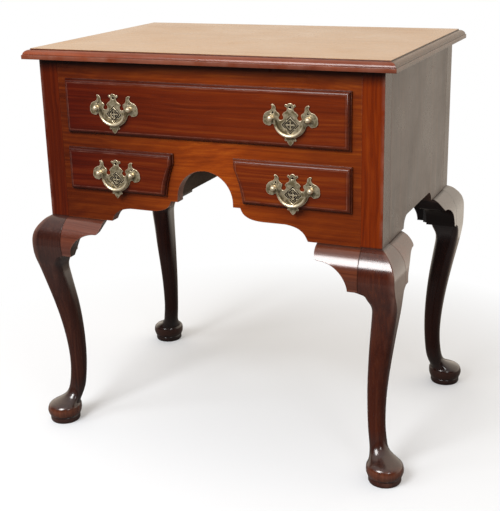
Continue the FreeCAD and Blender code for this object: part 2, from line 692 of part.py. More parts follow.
def fret_holes(y0, y1):
    """Pierced fret: a diamond parted by a cross, an angled slot outside each of its corners."""
    mid = -FRET_DOWN
    reach = FRET_DIAMOND
    points = diamond(mid, reach)
    hole = prism_xz(points[0], [[p] for p in points[1:]], y0, y1)
    half = FRET_BAR / 2
    hole = hole.cut(box(-half, half, y0, y1, mid - reach, mid + reach))
    holes = [hole.cut(box(-reach, reach, y0, y1, mid - half, mid + half))]
    outer, inner = diamond(mid, FRET_FRAME), diamond(mid, FRET_FRAME - FRET_SLOT / SIN_45)
    ring = prism_xz(outer[0], [[p] for p in outer[1:]], y0, y1).cut(
        prism_xz(inner[0], [[p] for p in inner[1:]], y0, y1))
    arm = FRET_FRAME * 0.42
    for x, z in outer:
        holes.append(ring.common(box(x - arm, x + arm, y0, y1, z - arm, z + arm)))
    return holes


def plate(pull_x, pull_z):
    """Pierced bat-wing plate of one pull."""
    half = prism_xz(*plate_half(), PLATE_FACE_Y, LIP_FACE_Y)
    y0, y1 = PLATE_FACE_Y - 1, LIP_FACE_Y + 1
    eye_arch = [on_plate(0, 0.29), on_plate(-0.052, 0.258)]
    eye_steps = [[on_plate(0.052, 0.231)], [on_plate(0.052, 0.258)], eye_arch]
    eye = prism_xz(on_plate(-0.052, 0.231), eye_steps, y0, y1)
    wing_steps = [[on_plate(0.726, 0.098)], [on_plate(0.67, 0.133), on_plate(0.639, 0.187)]]
    wing = prism_xz(on_plate(0.609, 0.104), wing_steps, y0, y1)
    holes = fret_holes(y0, y1) + [eye, wing, mirror_x(wing)]
    for end in (-1, 1):
        holes.append(Part.makeCylinder(SHANK_R + SHANK_GAP, y1 - y0, V(end * BORING / 2, y0, 0), V(0, 1, 0)))
    shape = minus(joined([half, mirror_x(half)]), holes)
    return shape.translate(V(pull_x, 0, pull_z))


def pull_post(x, z):
    """One post: pierced ball head, neck, collar and the shank that goes through the drawer front."""
    back = V(0, 1, 0)
    shank_l = FRONT_BODY_Y + NUT_T + SHANK_TAIL - PLATE_FACE_Y
    head = Part.makeSphere(POST_HEAD_R, V(x, BAIL_AXIS_Y, z))
    neck = Part.makeCylinder(POST_NECK_R, POST_STANDOFF, V(x, BAIL_AXIS_Y, z), back)
    collar = Part.makeCylinder(POST_COLLAR_R, POST_COLLAR_T, V(x, PLATE_FACE_Y - POST_COLLAR_T, z), back)
    shank = Part.makeCylinder(SHANK_R, shank_l, V(x, PLATE_FACE_Y, z), back)
    hole = Part.makeCylinder(BAIL_PIN_R + BAIL_PIN_GAP, 4 * POST_HEAD_R,
                             V(x - 2 * POST_HEAD_R, BAIL_AXIS_Y, z), V(1, 0, 0))
    return joined([head, neck, collar, shank]).cut(hole)


def post_nut(x, z):
    """Square nut on a shank, against the inner face of the drawer front."""
    half = NUT_SIDE / 2
    nut = box(x - half, x + half, FRONT_BODY_Y, FRONT_BODY_Y + NUT_T, z - half, z + half)
    hole_start = V(x, FRONT_BODY_Y - NUT_T / 2, z)
    return nut.cut(Part.makeCylinder(SHANK_R + NUT_GAP, 2 * NUT_T, hole_start, V(0, 1, 0)))


def pull_posts(pull_x, pull_z):
    """Both posts of a pull, each with its nut."""
    ends = [pull_x + end * BORING / 2 for end in (-1, 1)]
    return Part.makeCompound([piece for x in ends for piece in (pull_post(x, pull_z), post_nut(x, pull_z))])


def bail_spine():
    """Points of the bail about its axis, as (x, z, heading x, heading z, swell), from right to left."""
    centre_z = -BAIL_BEND_R
    spots = []
    for n in range(BEND_SECTIONS):
        turn = FreeCAD.Rotation(V(0, 1, 0), -90.0 * n / BEND_SECTIONS)
        spot = turn.multVec(V(0, 0, BAIL_BEND_R))
        heading = turn.multVec(V(-1, 0, 0))
        spots.append((BAIL_END_X + spot.x, centre_z + spot.z, heading.x, heading.z, 0.0))
    for n in range(BOW_SECTIONS + 1):
        turn = FreeCAD.Rotation(V(0, 1, 0), 180.0 * n / BOW_SECTIONS)
        spot = turn.multVec(V(BAIL_R, 0, 0))
        heading = turn.multVec(V(0, 0, -1))
        spots.append((spot.x, centre_z + spot.z, heading.x, heading.z, -spot.z / BAIL_R))
    ends = [(-x, z, dx, -dz, swell) for x, z, dx, dz, swell in spots[:BEND_SECTIONS]]
    return spots + ends[::-1]


def bail(pull_x, pull_z):
    """Hanging bail: a bow thickest at the bottom, its ends bent outwards into pins."""
    sections = []
    for x, z, dx, dz, swell in bail_spine():
        radius = BAIL_END_R + (BAIL_MID_R - BAIL_END_R) * swell ** 2
        circle = Part.Circle(V(pull_x + x, BAIL_AXIS_Y, pull_z + z), V(dx, 0, dz), radius)
        sections.append(Part.Wire([circle.toShape()]))
    bow = Part.makeLoft(sections, True, False)
    pin_l = BORING / 2 + POST_HEAD_R / 2 - BAIL_END_X
    pins = []
    for end in (-1, 1):
        root = V(pull_x + end * BAIL_END_X, BAIL_AXIS_Y, pull_z)
        pins.append(Part.makeCylinder(BAIL_PIN_R, pin_l, root, V(end, 0, 0)))
    return joined([bow] + pins)


# ---------------------------------------------------------------- whole table
def case_nodes():
    """Case, legs and inner woodwork; pieces made for the right-hand side are mirrored."""
    runner_long = strip(LONG_X - RUNNER_W, SMALL_Z1, LONG_Z0)
    guide_long = strip(LONG_X, LONG_Z0, LONG_Z0 + GUIDE_H)
    kicker = strip(LONG_X - RUNNER_W, LONG_Z1, LONG_Z1 + KICKER_H)
    runner_outer = strip(SMALL_X1 - RUNNER_W, SMALL_Z0 - RUNNER_H, SMALL_Z0)
    guide_outer = strip(SMALL_X1, SMALL_Z0, SMALL_Z0 + GUIDE_H)
    runner_low = SMALL_Z0 - RUNNER_H
    partition = box(SMALL_X0 - PARTITION_T, SMALL_X0, FRONT_IN, BACK_IN + HOUSING, runner_low, SMALL_Z1)
    runner_inner = box(SMALL_X0, SMALL_X0 + INNER_RUNNER_W, FRONT_IN, BACK_IN + HOUSING, runner_low, SMALL_Z0)
    handed = {
        "side_panel": side_panel(), "leg_front": front_leg(), "leg_back": back_leg(),
        "knee_block_front": knee_block_front(), "knee_block_back": mirror_y(knee_block_front()),
        "knee_block_side_front": knee_block_side(), "knee_block_side_back": mirror_y(knee_block_side()),
        "long_runner": runner_long, "long_guide": guide_long, "kicker": kicker,
        "small_runner_outer": runner_outer, "small_guide_outer": guide_outer,
        "partition": partition, "small_runner_inner": runner_inner,
    }
    housed = [runner_long, guide_long, kicker, runner_outer, guide_outer, partition, runner_inner]
    nodes = {"top_board": top_board(), "front_board": front_board(), "glue_blocks": glue_blocks(),
             "back_panel": back_panel(housed + [mirror_x(piece) for piece in housed])}
    for name, shape in handed.items():
        nodes[name + "_right"] = shape
        nodes[name + "_left"] = mirror_x(shape)
    return nodes


def drawer_nodes():
    """The three drawers and their pulls."""
    long_x, small_x = LONG_X - LONG_PULL_IN, (SMALL_X0 + SMALL_X1) / 2 - SMALL_PULL_IN
    long_z = (LONG_Z0 + LONG_Z1) / 2 + LONG_PULL_UP
    small_z = (SMALL_Z0 + SMALL_Z1) / 2 - SMALL_PULL_DOWN
    pulls = {"long_left": (-long_x, long_z), "long_right": (long_x, long_z),
             "small_left": (-small_x, small_z), "small_right": (small_x, small_z)}
    holes = {name: pull_holes(*spot) for name, spot in pulls.items()}
    lip = small_lip()
    drawers = {
        "long_drawer": drawer(-LONG_X, LONG_X, LONG_Z0, LONG_Z1, long_lip(),
                              holes["long_left"] + holes["long_right"]),
        "left_drawer": drawer(-SMALL_X1, -SMALL_X0, SMALL_Z0, SMALL_Z1, mirror_x(lip), holes["small_left"]),
        "right_drawer": drawer(SMALL_X0, SMALL_X1, SMALL_Z0, SMALL_Z1, lip, holes["small_right"]),
    }
    nodes = {name + "_" + piece: shape for name, pieces in drawers.items() for piece, shape in pieces.items()}
    for name, spot in pulls.items():
        nodes["pull_" + name + "_plate"] = plate(*spot)
        nodes["pull_" + name + "_posts"] = pull_posts(*spot)
        nodes["pull_" + name + "_bail"] = bail(*spot)
    return nodes


def main():
    os.makedirs("parts", exist_ok=True)
    nodes = dict(case_nodes(), **drawer_nodes())
    for name, shape in nodes.items():
        shape.exportStep("parts/" + name + ".step")
        print(name, len(shape.Solids), shape.isValid(), round(shape.Volume / 1000, 1))


main()
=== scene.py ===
"""Looks of a lowboy: polished mahogany case and legs, lipped drawer fronts, pierced brass pulls.

Metres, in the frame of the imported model: +X to the right hand of someone facing the drawers,
+Y towards the back, +Z up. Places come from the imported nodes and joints; the shapes between
them are worked out from the sizes below.
"""
import json
import math

import bmesh
import bpy
import numpy as np
from mathutils import Matrix, Vector
from mathutils.geometry import delaunay_2d_cdt


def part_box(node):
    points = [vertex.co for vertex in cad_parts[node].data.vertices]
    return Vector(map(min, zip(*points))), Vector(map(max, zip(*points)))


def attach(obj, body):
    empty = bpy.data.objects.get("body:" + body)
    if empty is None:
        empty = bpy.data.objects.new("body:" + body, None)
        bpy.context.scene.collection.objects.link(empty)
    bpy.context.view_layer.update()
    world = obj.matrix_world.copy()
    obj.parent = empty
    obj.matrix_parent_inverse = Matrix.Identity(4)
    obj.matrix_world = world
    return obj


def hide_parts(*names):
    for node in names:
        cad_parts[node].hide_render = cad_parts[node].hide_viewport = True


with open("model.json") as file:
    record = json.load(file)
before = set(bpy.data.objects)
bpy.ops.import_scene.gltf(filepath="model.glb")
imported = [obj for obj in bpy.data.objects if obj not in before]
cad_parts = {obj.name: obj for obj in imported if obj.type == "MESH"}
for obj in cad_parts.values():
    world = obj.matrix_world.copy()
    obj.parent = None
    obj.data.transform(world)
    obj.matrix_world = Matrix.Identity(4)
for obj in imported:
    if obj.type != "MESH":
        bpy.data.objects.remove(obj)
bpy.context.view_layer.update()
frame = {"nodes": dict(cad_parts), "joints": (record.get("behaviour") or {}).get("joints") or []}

MM = 0.001
SIN_45 = math.sin(math.radians(45))

# ---- places taken from the frame
TOP_LOW, TOP_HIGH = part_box("top_board")
BOARD_LOW, BOARD_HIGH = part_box("front_board")
SIDE_LOW, SIDE_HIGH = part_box("side_panel_right")
BLOCK_LOW, BLOCK_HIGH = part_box("knee_block_front_right")
LONG_LOW, LONG_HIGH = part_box("long_drawer_front")
SMALL_LOW, SMALL_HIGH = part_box("right_drawer_front")
HALF_W = SIDE_HIGH.x                            # outer face of the side panels and posts
HALF_D = -BOARD_LOW.y                           # front face of the front board and posts
CASE_BASE = BOARD_LOW.z
CASE_TOP = BOARD_HIGH.z
FRONT_T = BOARD_HIGH.y - BOARD_LOW.y
POST_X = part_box("leg_front_right")[0].x         # inner faces of the corner posts
POST = HALF_W - POST_X
POST_Y = HALF_D - POST
KNEE_BASE = BLOCK_LOW.z
KNEE_DROP = CASE_BASE - KNEE_BASE
KNEE_PROUD = -HALF_D - BLOCK_LOW.y
BLOCK_L = BLOCK_HIGH.x - BLOCK_LOW.x
BLOCK_INNER = BLOCK_HIGH.y + HALF_D
LIP_FACE_Y = LONG_LOW.y
BODY_Y = LONG_HIGH.y                            # inner face of the drawer fronts
PULLS = {joint["child"][len("bail_"):]: Vector(joint["pos_m"])
         for joint in frame["joints"] if joint["child"].startswith("bail_")}


# ---- sizes
def mm(*lengths):
    return [length * MM for length in lengths]


# top: square band, fillet, step above the band, how far in the whole moulding reaches, edges
TOP_BAND, TOP_FILLET, TOP_STEP, TOP_MOULDING, TOP_ARRIS = mm(7.0, 2.2, 1.5, 11.7, 0.5)

# front board and side panels; heights are above the case's lower edge
LIP_OVERLAP, BOARD_ARRIS, BOARD_RUB = mm(6.0, 0.5, 1.0)
ARCH_R, ARCH_SPRING, ARCH_STILE = mm(51.5, 52.0, 25.5)
APRON_STEP_Z, APRON_STEP_W, APRON_FLAT_Z = mm(45.9, 13.0, 25.5)
LOBE_W, COVE_W, COVE_LAND = mm(40.0, 39.0, 16.0)
SIDE_RISE, SIDE_LAND = mm(20.0, 14.0)

# legs
KNEE_FOOT_FRONT, KNEE_FOOT_SIDE = mm(26.0, 29.8)    # bottom of the knee beyond the post
KNEE_INNER = 23.0 * MM                              # round of the front knees' inner corner
KNEE_ARRIS, POST_ARRIS, POST_JOINT = mm(1.8, 0.6, 0.3)
PAD_R, PAD_H, PAD_NECK_R = mm(28.2, 12.0, 26.5)     # disc under the foot
PAD_TAPER, PAD_TAPER_H, PAD_BEVEL_H = mm(1.5, 3.0, 2.5)
FOOT_R, FOOT_TOP = mm(32.5, 48.0)
FOOT_OUT, FOOT_SET = mm(10.6, 2.1)                  # foot's middle beyond the post's side, inside its front
ANKLE_R, SHAFT_SET, SHAFT_BACK = mm(14.8, 12.9, 13.4)
# the leg's rubbed corner, with its painted highlight, starts at FADE_Z
FINE_Z, FADE_Z = (KNEE_BASE - depth for depth in mm(30.0, 40.0))     # finer rings; inner round and wear begin
ROUND_POINTS, FLAT_POINTS = 12, 5                   # on each corner and each flat of a leg's rings

# knee blocks
BLOCK_END_H, BLOCK_NOSE_W, BLOCK_NOSE_H, BLOCK_TOE_W = mm(6.0, 8.0, 16.5, 14.0)
BLOCK_ARRIS, BLOCK_EDGE, BLOCK_JOINT = mm(1.0, 0.6, 0.7)    # lower edge, other edges, edge beside the leg
BLOCK_FACE_POINTS, BLOCK_WORN_SECTIONS = 26, 8
BLOCK_ARRIS_TURNS = np.radians([22.5, 45, 67.5, 90])
JOINT_LEAN = 4.5 * MM                               # how far the joint leans into the knee, at its face
BLOCK_LAND = 14.0 * MM                              # front legs' blocks: flat underside, before the cut
BLOCK_CUT = 0.6                                     # share of the height that the cut takes at the back
BLOCK_UNDERCUT = 8.0 * MM                           # how much shorter these blocks are at their back

# drawer fronts
LIP_BAND, LIP_STEP, LIP_QUIRK, LIP_ARRIS = mm(3.2, 1.5, 0.8, 0.3)
SLIDE_GAP, DRAWER_GAP = mm(0.3, 1.0)                # behind the lip, and round the body in its mouth
LIP_INNER_TOP, LIP_INNER_STRAIGHT, LIP_INNER_SAG = mm(21.5, 16.0, 2.2)

# pulls
BORING, PLATE_MARGIN, PLATE_H, PLATE_T = mm(63.5, 14.25, 67.5, 1.6)
PLATE_ARRIS, PLATE_RUB = mm(0.45, 0.7)
POST_HOLE_R, POST_HEAD_R = mm(2.7, 4.6)
FRET_DOWN, FRET_BAR, FRET_SLOT, FRET_DIAMOND, FRET_FRAME = mm(10.4, 2.0, 1.9, 7.6, 15.0)
BAIL_PIN_R, BAIL_BEND_R, BAIL_END_R, BAIL_MID_R, BAIL_SHOULDER_GAP = mm(1.3, 2.6, 1.7, 2.6, 0.3)


# ---- curves and outlines
def arc_through(a, b, c, count):
    """Circle through three points, as points from a to c: the centre is the circumcentre."""
    a, b, c = (complex(*p) for p in (a, b, c))
    ratio = (c - a) / (b - a)
    centre = a + (b - a) * (ratio - abs(ratio) ** 2) / (2j * ratio.imag)
    sweep = np.angle((c - centre) / (a - centre)) % math.tau
    if ratio.imag < 0:
        sweep -= math.tau
    spots = centre + (a - centre) * np.exp(1j * np.linspace(0, sweep, count))
    return np.stack([spots.real, spots.imag], axis=1)


def smooth_table(knots, values, at):
    """Natural cubic through the rows of values at knots, read at the places in at."""
    gap = np.diff(knots)
    count = len(knots)
    bend = np.zeros((count, count))
    right = np.zeros(values.shape)
    bend[0, 0] = bend[-1, -1] = 1
    inner = np.arange(1, count - 1)
    bend[inner, inner - 1] = gap[:-1]
    bend[inner, inner] = 2 * (gap[:-1] + gap[1:])
    bend[inner, inner + 1] = gap[1:]
    right[1:-1] = 6 * np.diff(np.diff(values, axis=0) / gap[:, None], axis=0)
    second = np.linalg.solve(bend, right)
    cell = np.clip(np.searchsorted(knots, at) - 1, 0, count - 2)
    h, low, high = (a[:, None] for a in (gap[cell], knots[cell + 1] - at, at - knots[cell]))
    bent = (second[cell] * low ** 3 + second[cell + 1] * high ** 3) / (6 * h)
    return (bent + (values[cell] / h - second[cell] * h / 6) * low
            + (values[cell + 1] / h - second[cell + 1] * h / 6) * high)


def spline_through(points, count):
    """Smooth curve through points: a natural cubic in the length of the chords."""
    points = np.asarray(points, float)
    chord = np.r_[0, np.cumsum(np.linalg.norm(np.diff(points, axis=0), axis=1))]
    return smooth_table(chord, points, np.linspace(0, chord[-1], count))


def traced(start, steps, fine=12):
    """Closed outline. A step of one point is straight, of two an arc, of more a smooth curve."""
    pieces = [np.array([start])]
    here = start
    for step in steps:
        if len(step) == 1:
            run = np.array([step[0]])
        elif len(step) == 2:
            run = arc_through(here, step[0], step[1], fine + 1)[1:]
        else:
            run = spline_through([here] + step, 2 * fine + 1)[1:]
        pieces.append(run)
        here = step[-1]
    whole = np.concatenate(pieces)
    return whole[:-1] if np.allclose(whole[0], whole[-1], atol=1e-7) else whole


def circle(count):
    """Cosines and sines of evenly spaced angles."""
    turn = np.linspace(0, math.tau, count, endpoint=False)
    return np.cos(turn), np.sin(turn)


def rectangle(x0, x1, z0, z1):
    return np.array([(x0, z0), (x1, z0), (x1, z1), (x0, z1)])


def quarter_round(inset, level, width, rise, count, *looks):
    """Points of a moulding's quarter round without its ends, as (inset, level, and its looks)."""
    return [(inset + width * (1 - math.cos(t)), level + rise * math.sin(t), *looks)
            for t in np.linspace(0, math.pi / 2, count)[1:-1]]


def turned(outline, anticlockwise):
    """The outline with its points in the asked order, told by the sign of its area."""
    x, z = outline.T
    area = np.sum(x * np.roll(z, -1) - np.roll(x, -1) * z)
    return outline if (area > 0) == anticlockwise else outline[::-1]


def drawn_in(outline, inset):
    """Each point moved into the board by inset, along the mitre of its two edges."""
    edge = np.roll(outline, -1, axis=0) - outline
    edge /= np.linalg.norm(edge, axis=1)[:, None]
    inward = np.stack([-edge[:, 1], edge[:, 0]], axis=1)
    before = np.roll(inward, 1, axis=0)
    spread = 1 + np.sum(before * inward, axis=1)
    return outline + inset * (before + inward) / np.maximum(spread, 0.35)[:, None]


# ---- meshes
def in_scene(name, data):
    """Object of this name, linked to the scene."""
    thing = bpy.data.objects.new(name, data)
    bpy.context.scene.collection.objects.link(thing)
    return thing


def make_piece(name, points, faces, wear_and_highlight, grime_and_shade, board, arris=0.0):
    """Mesh object from points and faces, merged and turned outwards.

    Per point, the first of the two values is how rubbed it is, with painted highlight on the edges, the
    second how much dark waxy dirt and painted shade it holds, both 0 to 1; board shifts the grain so that no
    two boards match. The sharp edges are rounded by arris, and the shading follows the big faces, so that
    only the arrises catch the light.
    """
    mesh = bpy.data.meshes.new(name)
    mesh.from_pydata(np.asarray(points, float).tolist(), [], faces)
    for label, amount in (("wear_and_highlight", wear_and_highlight), ("grime_and_shade", grime_and_shade), ("board", board)):
        values = np.ascontiguousarray(np.broadcast_to(amount, len(points)), np.float32)
        mesh.attributes.new(label, "FLOAT", "POINT").data.foreach_set("value", values)
    work = bmesh.new()
    work.from_mesh(mesh)
    bmesh.ops.remove_doubles(work, verts=work.verts, dist=1e-6)
    bmesh.ops.recalc_face_normals(work, faces=work.faces)
    work.to_mesh(mesh)
    work.free()
    mesh.polygons.foreach_set("use_smooth", np.ones(len(mesh.polygons), bool))
    mesh.set_sharp_from_angle(angle=math.radians(60))
    piece = in_scene(name, mesh)
    if arris:
        bevel = piece.modifiers.new("arris", "BEVEL")
        bevel.width, bevel.segments = arris, 2
        bevel.limit_method, bevel.angle_limit = "ANGLE", math.radians(35)
        bevel.use_clamp_overlap = True
    piece.modifiers.new("flats", "WEIGHTED_NORMAL").keep_sharp = True
    return piece


def skin(rings, closed_ends=True):
    """Quads between neighbouring rings of points, and a lid on the first and last ring."""
    rows, columns = rings.shape[:2]
    index = np.arange(rows * columns).reshape(rows, columns)
    along = np.roll(index, -1, axis=1)
    faces = np.stack([index[:-1], along[:-1], along[1:], index[1:]], axis=-1).reshape(-1, 4).tolist()
    if closed_ends:
        faces += [index[0, ::-1].tolist(), index[-1].tolist()]
    return faces


def ring_piece(name, rings, wear_and_highlight, grime_and_shade, board=0.0, arris=0.0):
    """Piece made of rings; the rubbed values (with painted highlight) and the dark ones (waxy dirt with
    painted shade) have one value to a ring or one to a point.
    """
    wear_and_highlight, grime_and_shade = (np.broadcast_to(amount if np.ndim(amount) == 2 else np.array(amount)[:, None],
                                   rings.shape[:2]).ravel() for amount in (wear_and_highlight, grime_and_shade))
    return make_piece(name, rings.reshape(-1, 3), skin(rings), wear_and_highlight, grime_and_shade, board, arris)


def filled(outlines):
    """Triangles that fill the first outline but not the others, as numbers into all their points.

    A Delaunay mesh is held to the outlines' edges, and a triangle stays where a line from its
    middle crosses an odd number of them.
    """
    points = np.concatenate(outlines)
    starts = np.cumsum([0] + [len(outline) for outline in outlines])
    following = np.concatenate([np.roll(np.arange(len(outline)), -1) + start
                                for outline, start in zip(outlines, starts)])
    edges = np.stack([np.arange(len(points)), following], axis=1)
    found = delaunay_2d_cdt([Vector(point / MM) for point in points], edges.tolist(), [], 0, 1e-5)
    number = np.array([given[0] if given else -1 for given in found[3]])
    triangles = number[np.array(found[2])]
    triangles = triangles[(triangles >= 0).all(axis=1)]
    middle = points[triangles].mean(axis=1)[:, None]
    a, b = points[None], points[following][None]
    straddles = (a[..., 1] > middle[..., 1]) != (b[..., 1] > middle[..., 1])
    rise = np.where(straddles, b[..., 1] - a[..., 1], 1.0)
    crossing = a[..., 0] + (middle[..., 1] - a[..., 1]) * (b[..., 0] - a[..., 0]) / rise
    inside = (straddles & (crossing > middle[..., 0])).sum(axis=1) % 2 == 1
    return triangles[inside]


def flat_board(name, outlines, low, high, arris, place, rub_and_highlight, board, grime_and_shade=0.0, dull=0.0, worn_and_highlighted=None):
    """Board of even thickness: outlines run from low to high, all edges rounded, both faces filled.

    The first outline is the outside, the others are openings. Each is a stack of rings: the
    face's margin, as wide as the rubbed band with its painted highlight, a quarter circle of radius arris,
    the edge, and the same again. dull is how dark the low face is made inside the margin, and the
    argument before it how dark the high side is. The last argument gives how rubbed the arris is, with
    its painted highlight, from (across, up), if it isn't 1 everywhere.
    """
    bow = np.radians([90, 60, 30, 0])
    profile = [(rub_and_highlight, 0.0, 0.0)] + [(arris * (1 - math.cos(b)), arris * (1 - math.sin(b)), 1.0) for b in bow]
    stack = [(inset, low + depth, rubbed, 0.0 if rubbed else dull) for inset, depth, rubbed in profile]
    stack += [(inset, high - depth, rubbed, grime_and_shade) for inset, depth, rubbed in profile[::-1]]
    outlines = [turned(outline, n == 0) for n, outline in enumerate(outlines)]
    points, faces, wear_and_highlight, dark, low_face, high_face = [], [], [], [], [], []
    base = 0
    for outline in outlines:
        count = len(outline)
        rings = np.stack([place(*drawn_in(outline, row[0]).T, np.full(count, row[1])) for row in stack])
        points.append(rings.reshape(-1, 3))
        faces += (np.array(skin(rings, closed_ends=False)) + base).tolist()
        rubbed = worn_and_highlighted(*outline.T) if worn_and_highlighted else np.ones(count)
        wear_and_highlight.append(np.concatenate([row[2] * rubbed for row in stack]))
        dark.append(np.repeat([row[3] for row in stack], count))
        low_face.append(np.arange(base, base + count))
        base += len(stack) * count
        high_face.append(np.arange(base - count, base))
    fill = filled([drawn_in(outline, rub_and_highlight) for outline in outlines])
    faces += np.concatenate(low_face)[fill[:, ::-1]].tolist() + np.concatenate(high_face)[fill].tolist()
    return make_piece(name, np.concatenate(points), faces, np.concatenate(wear_and_highlight), np.concatenate(dark), board)


def facing_front(across, up, depth):
    """Outline drawn from the front; depth runs along Y."""
    return np.stack([across, depth, up], axis=-1)


def facing_side(across, up, depth):
    """Outline drawn from the side; depth runs along X."""
    return np.stack([depth, across, up], axis=-1)


def finish(piece, body, material, node):
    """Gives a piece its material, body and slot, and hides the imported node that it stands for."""
    piece.data.materials.append(material)
    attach(piece, body)
    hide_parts(node)


# ---- case
def top_board():
    """Top: rectangles that step in by the moulding's section, square band to fillet, mitred.

    Each row of the section is inset, height, how rubbed and how dark: the rubbing carries painted highlight
    on the edges, and the dark is waxy dirt with painted shade in the step, the fillet and underneath.
    """
    thick = TOP_HIGH.z - TOP_LOW.z
    reach = TOP_MOULDING - TOP_STEP
    rise = thick - TOP_FILLET - TOP_BAND
    section = [(30 * MM, 0, 0, 0.5), (0, 0, 0.3, 0.3), (0, TOP_BAND, 0.8, 0), (TOP_STEP, TOP_BAND, 0, 1)]
    section += quarter_round(TOP_STEP, TOP_BAND, reach, rise, 13, 0.2, 0)
    section += [(TOP_MOULDING, thick - TOP_FILLET, 0, 1), (TOP_MOULDING, thick - TOP_FILLET / 2, 0, 0.6),
                (TOP_MOULDING, thick, 0.5, 0), (TOP_MOULDING + 6 * MM, thick, 0, 0)]
    inset, up, worn_and_highlighted, dark = np.array(section).T
    step = np.linspace(0, 1, 12, endpoint=False)[:, None]
    rings = []
    for n, height in zip(inset, TOP_LOW.z + up):
        corners = rectangle(TOP_LOW.x + n, TOP_HIGH.x - n, TOP_LOW.y + n, TOP_HIGH.y - n)
        border = np.concatenate([a + (b - a) * step for a, b in zip(corners, np.roll(corners, -1, axis=0))])
        rings.append(np.c_[border, np.full(len(border), height)])
    return ring_piece("top", np.stack(rings), worn_and_highlighted, dark, arris=TOP_ARRIS)


def apron():
    """Front board's outline with the shaped lower edge and the kneehole arch, both halves."""
    spring = CASE_BASE + ARCH_SPRING
    step_z = CASE_BASE + APRON_STEP_Z
    flat_z = CASE_BASE + APRON_FLAT_Z
    lobe_x = ARCH_R + APRON_STEP_W
    cove_x = POST_X - BLOCK_L - COVE_LAND
    lobe_h = step_z - flat_z
    steps = [
        [(ARCH_R * SIN_45, spring + ARCH_R * SIN_45), (ARCH_R, spring)],
        [(ARCH_R, step_z)],
        [(lobe_x, step_z)],
        [(lobe_x + LOBE_W * 0.11, step_z - lobe_h * 0.42),
         (lobe_x + LOBE_W * 0.36, step_z - lobe_h * 0.78), (lobe_x + LOBE_W, flat_z)],
        [(cove_x - COVE_W, flat_z)],
        [(cove_x - COVE_W * 0.57, flat_z - APRON_FLAT_Z * 0.13),
         (cove_x - COVE_W * 0.2, flat_z - APRON_FLAT_Z * 0.48), (cove_x, CASE_BASE)],
        [(POST_X, CASE_BASE)],
        [(POST_X, CASE_TOP)],
    ]
    half = traced((0.0, spring + ARCH_R), steps)
    return np.concatenate([half, half[:0:-1] * (-1, 1)])


def front_board():
    """Front board between the posts, with an opening behind each drawer front."""
    small_x0 = ARCH_R + ARCH_STILE
    small_x1 = SMALL_HIGH.x - LIP_OVERLAP
    small_z0, small_z1 = SMALL_LOW.z + LIP_OVERLAP, SMALL_HIGH.z - LIP_OVERLAP
    long_x = LONG_HIGH.x - LIP_OVERLAP
    openings = [rectangle(-long_x, long_x, LONG_LOW.z + LIP_OVERLAP, LONG_HIGH.z - LIP_OVERLAP),
                rectangle(small_x0, small_x1, small_z0, small_z1),
                rectangle(-small_x1, -small_x0, small_z0, small_z1)]
    return flat_board("front_board_face", [apron()] + openings, -HALF_D, -HALF_D + FRONT_T, BOARD_ARRIS,
                      facing_front, BOARD_RUB, 1.0,
                      worn_and_highlighted=lambda x, z: np.where(np.abs(x) < POST_X - BLOCK_L, 1.0, 0.1))


def side_panel(side, hand, board):
    """Side panel, its lower edge cut up in a low arch with rounded ends."""
    arch_y = POST_Y - BLOCK_L - SIDE_LAND
    top_y = arch_y - SIDE_RISE
    high = CASE_BASE + SIDE_RISE
    bow = SIDE_RISE * SIN_45
    steps = [
        [(-arch_y, CASE_BASE)],
        [(-top_y - bow, CASE_BASE + bow), (-top_y, high)],
        [(top_y, high)],
        [(top_y + bow, CASE_BASE + bow), (arch_y, CASE_BASE)],
        [(POST_Y, CASE_BASE)],
        [(POST_Y, CASE_TOP)],
        [(-POST_Y, CASE_TOP)],
    ]
    outline = traced((-POST_Y, CASE_BASE), steps)
    low, high = sorted((side * SIDE_LOW.x, side * SIDE_HIGH.x))
    return flat_board("side_" + hand, [outline], low, high, BOARD_ARRIS, facing_side, BOARD_RUB, board,
                      worn_and_highlighted=lambda y, z: np.where(np.abs(y) < arch_y + 1 * MM, 0.6, 0.1))


# ---- legs and knee blocks
def knee_curve(count, foot_proud):
    """Face of the knee as (beyond the post face, height), from the case down."""
    spread = ((0.0, 0.0), (0.24, 0.05), (0.55, 0.17), (0.83, 0.345), (0.975, 0.55), (1.0, 0.74))
    points = [(KNEE_PROUD * out, CASE_BASE - KNEE_DROP * down) for out, down in spread]
    return spline_through(points + [(foot_proud, KNEE_BASE)], count)


def squares(side, front, height, outer_round, other_round, inner_round=None):
    """Rings of a leg: oblongs with rounded corners, one to a height.

    side and front are each inner and outer distances, outside the post's side face and outside
    its front face. Each corner is a quarter circle about a centre drawn in by its radius, and
    the flats between corners are straight runs. Only height has to be an array.
    """
    inner_round = other_round if inner_round is None else inner_round
    x0, x1, y1, y0, height, outer, other, inner = (row[:, None, None] for row in np.broadcast_arrays(
        *side, *front, height, outer_round, other_round, inner_round))
    x = HALF_W + np.concatenate([x1, x1, x0, x0], axis=1)
    y = -HALF_D - np.concatenate([y0, y1, y1, y0], axis=1)
    r = np.concatenate([outer, other, inner, other], axis=1)
    in_x = np.array([-1, -1, 1, 1])[None, :, None]
    in_y = np.array([1, -1, -1, 1])[None, :, None]
    quarter = np.linspace(0, math.pi / 2, ROUND_POINTS)
    angle = np.radians(-90 + 90 * np.arange(4))[None, :, None] + quarter[None, None]
    share = np.linspace(0, 1, FLAT_POINTS + 2)[1:-1]
    rings = []
    for arc in (x + in_x * r + r * np.cos(angle), y + in_y * r + r * np.sin(angle)):
        run = arc[:, :, -1:] * (1 - share) + np.roll(arc[:, :, :1], -1, axis=1) * share
        rings.append(np.concatenate([arc, run], axis=2).reshape(len(x), -1))
    return np.stack([*rings, np.broadcast_to(height[:, :, 0], rings[0].shape)], axis=-1)


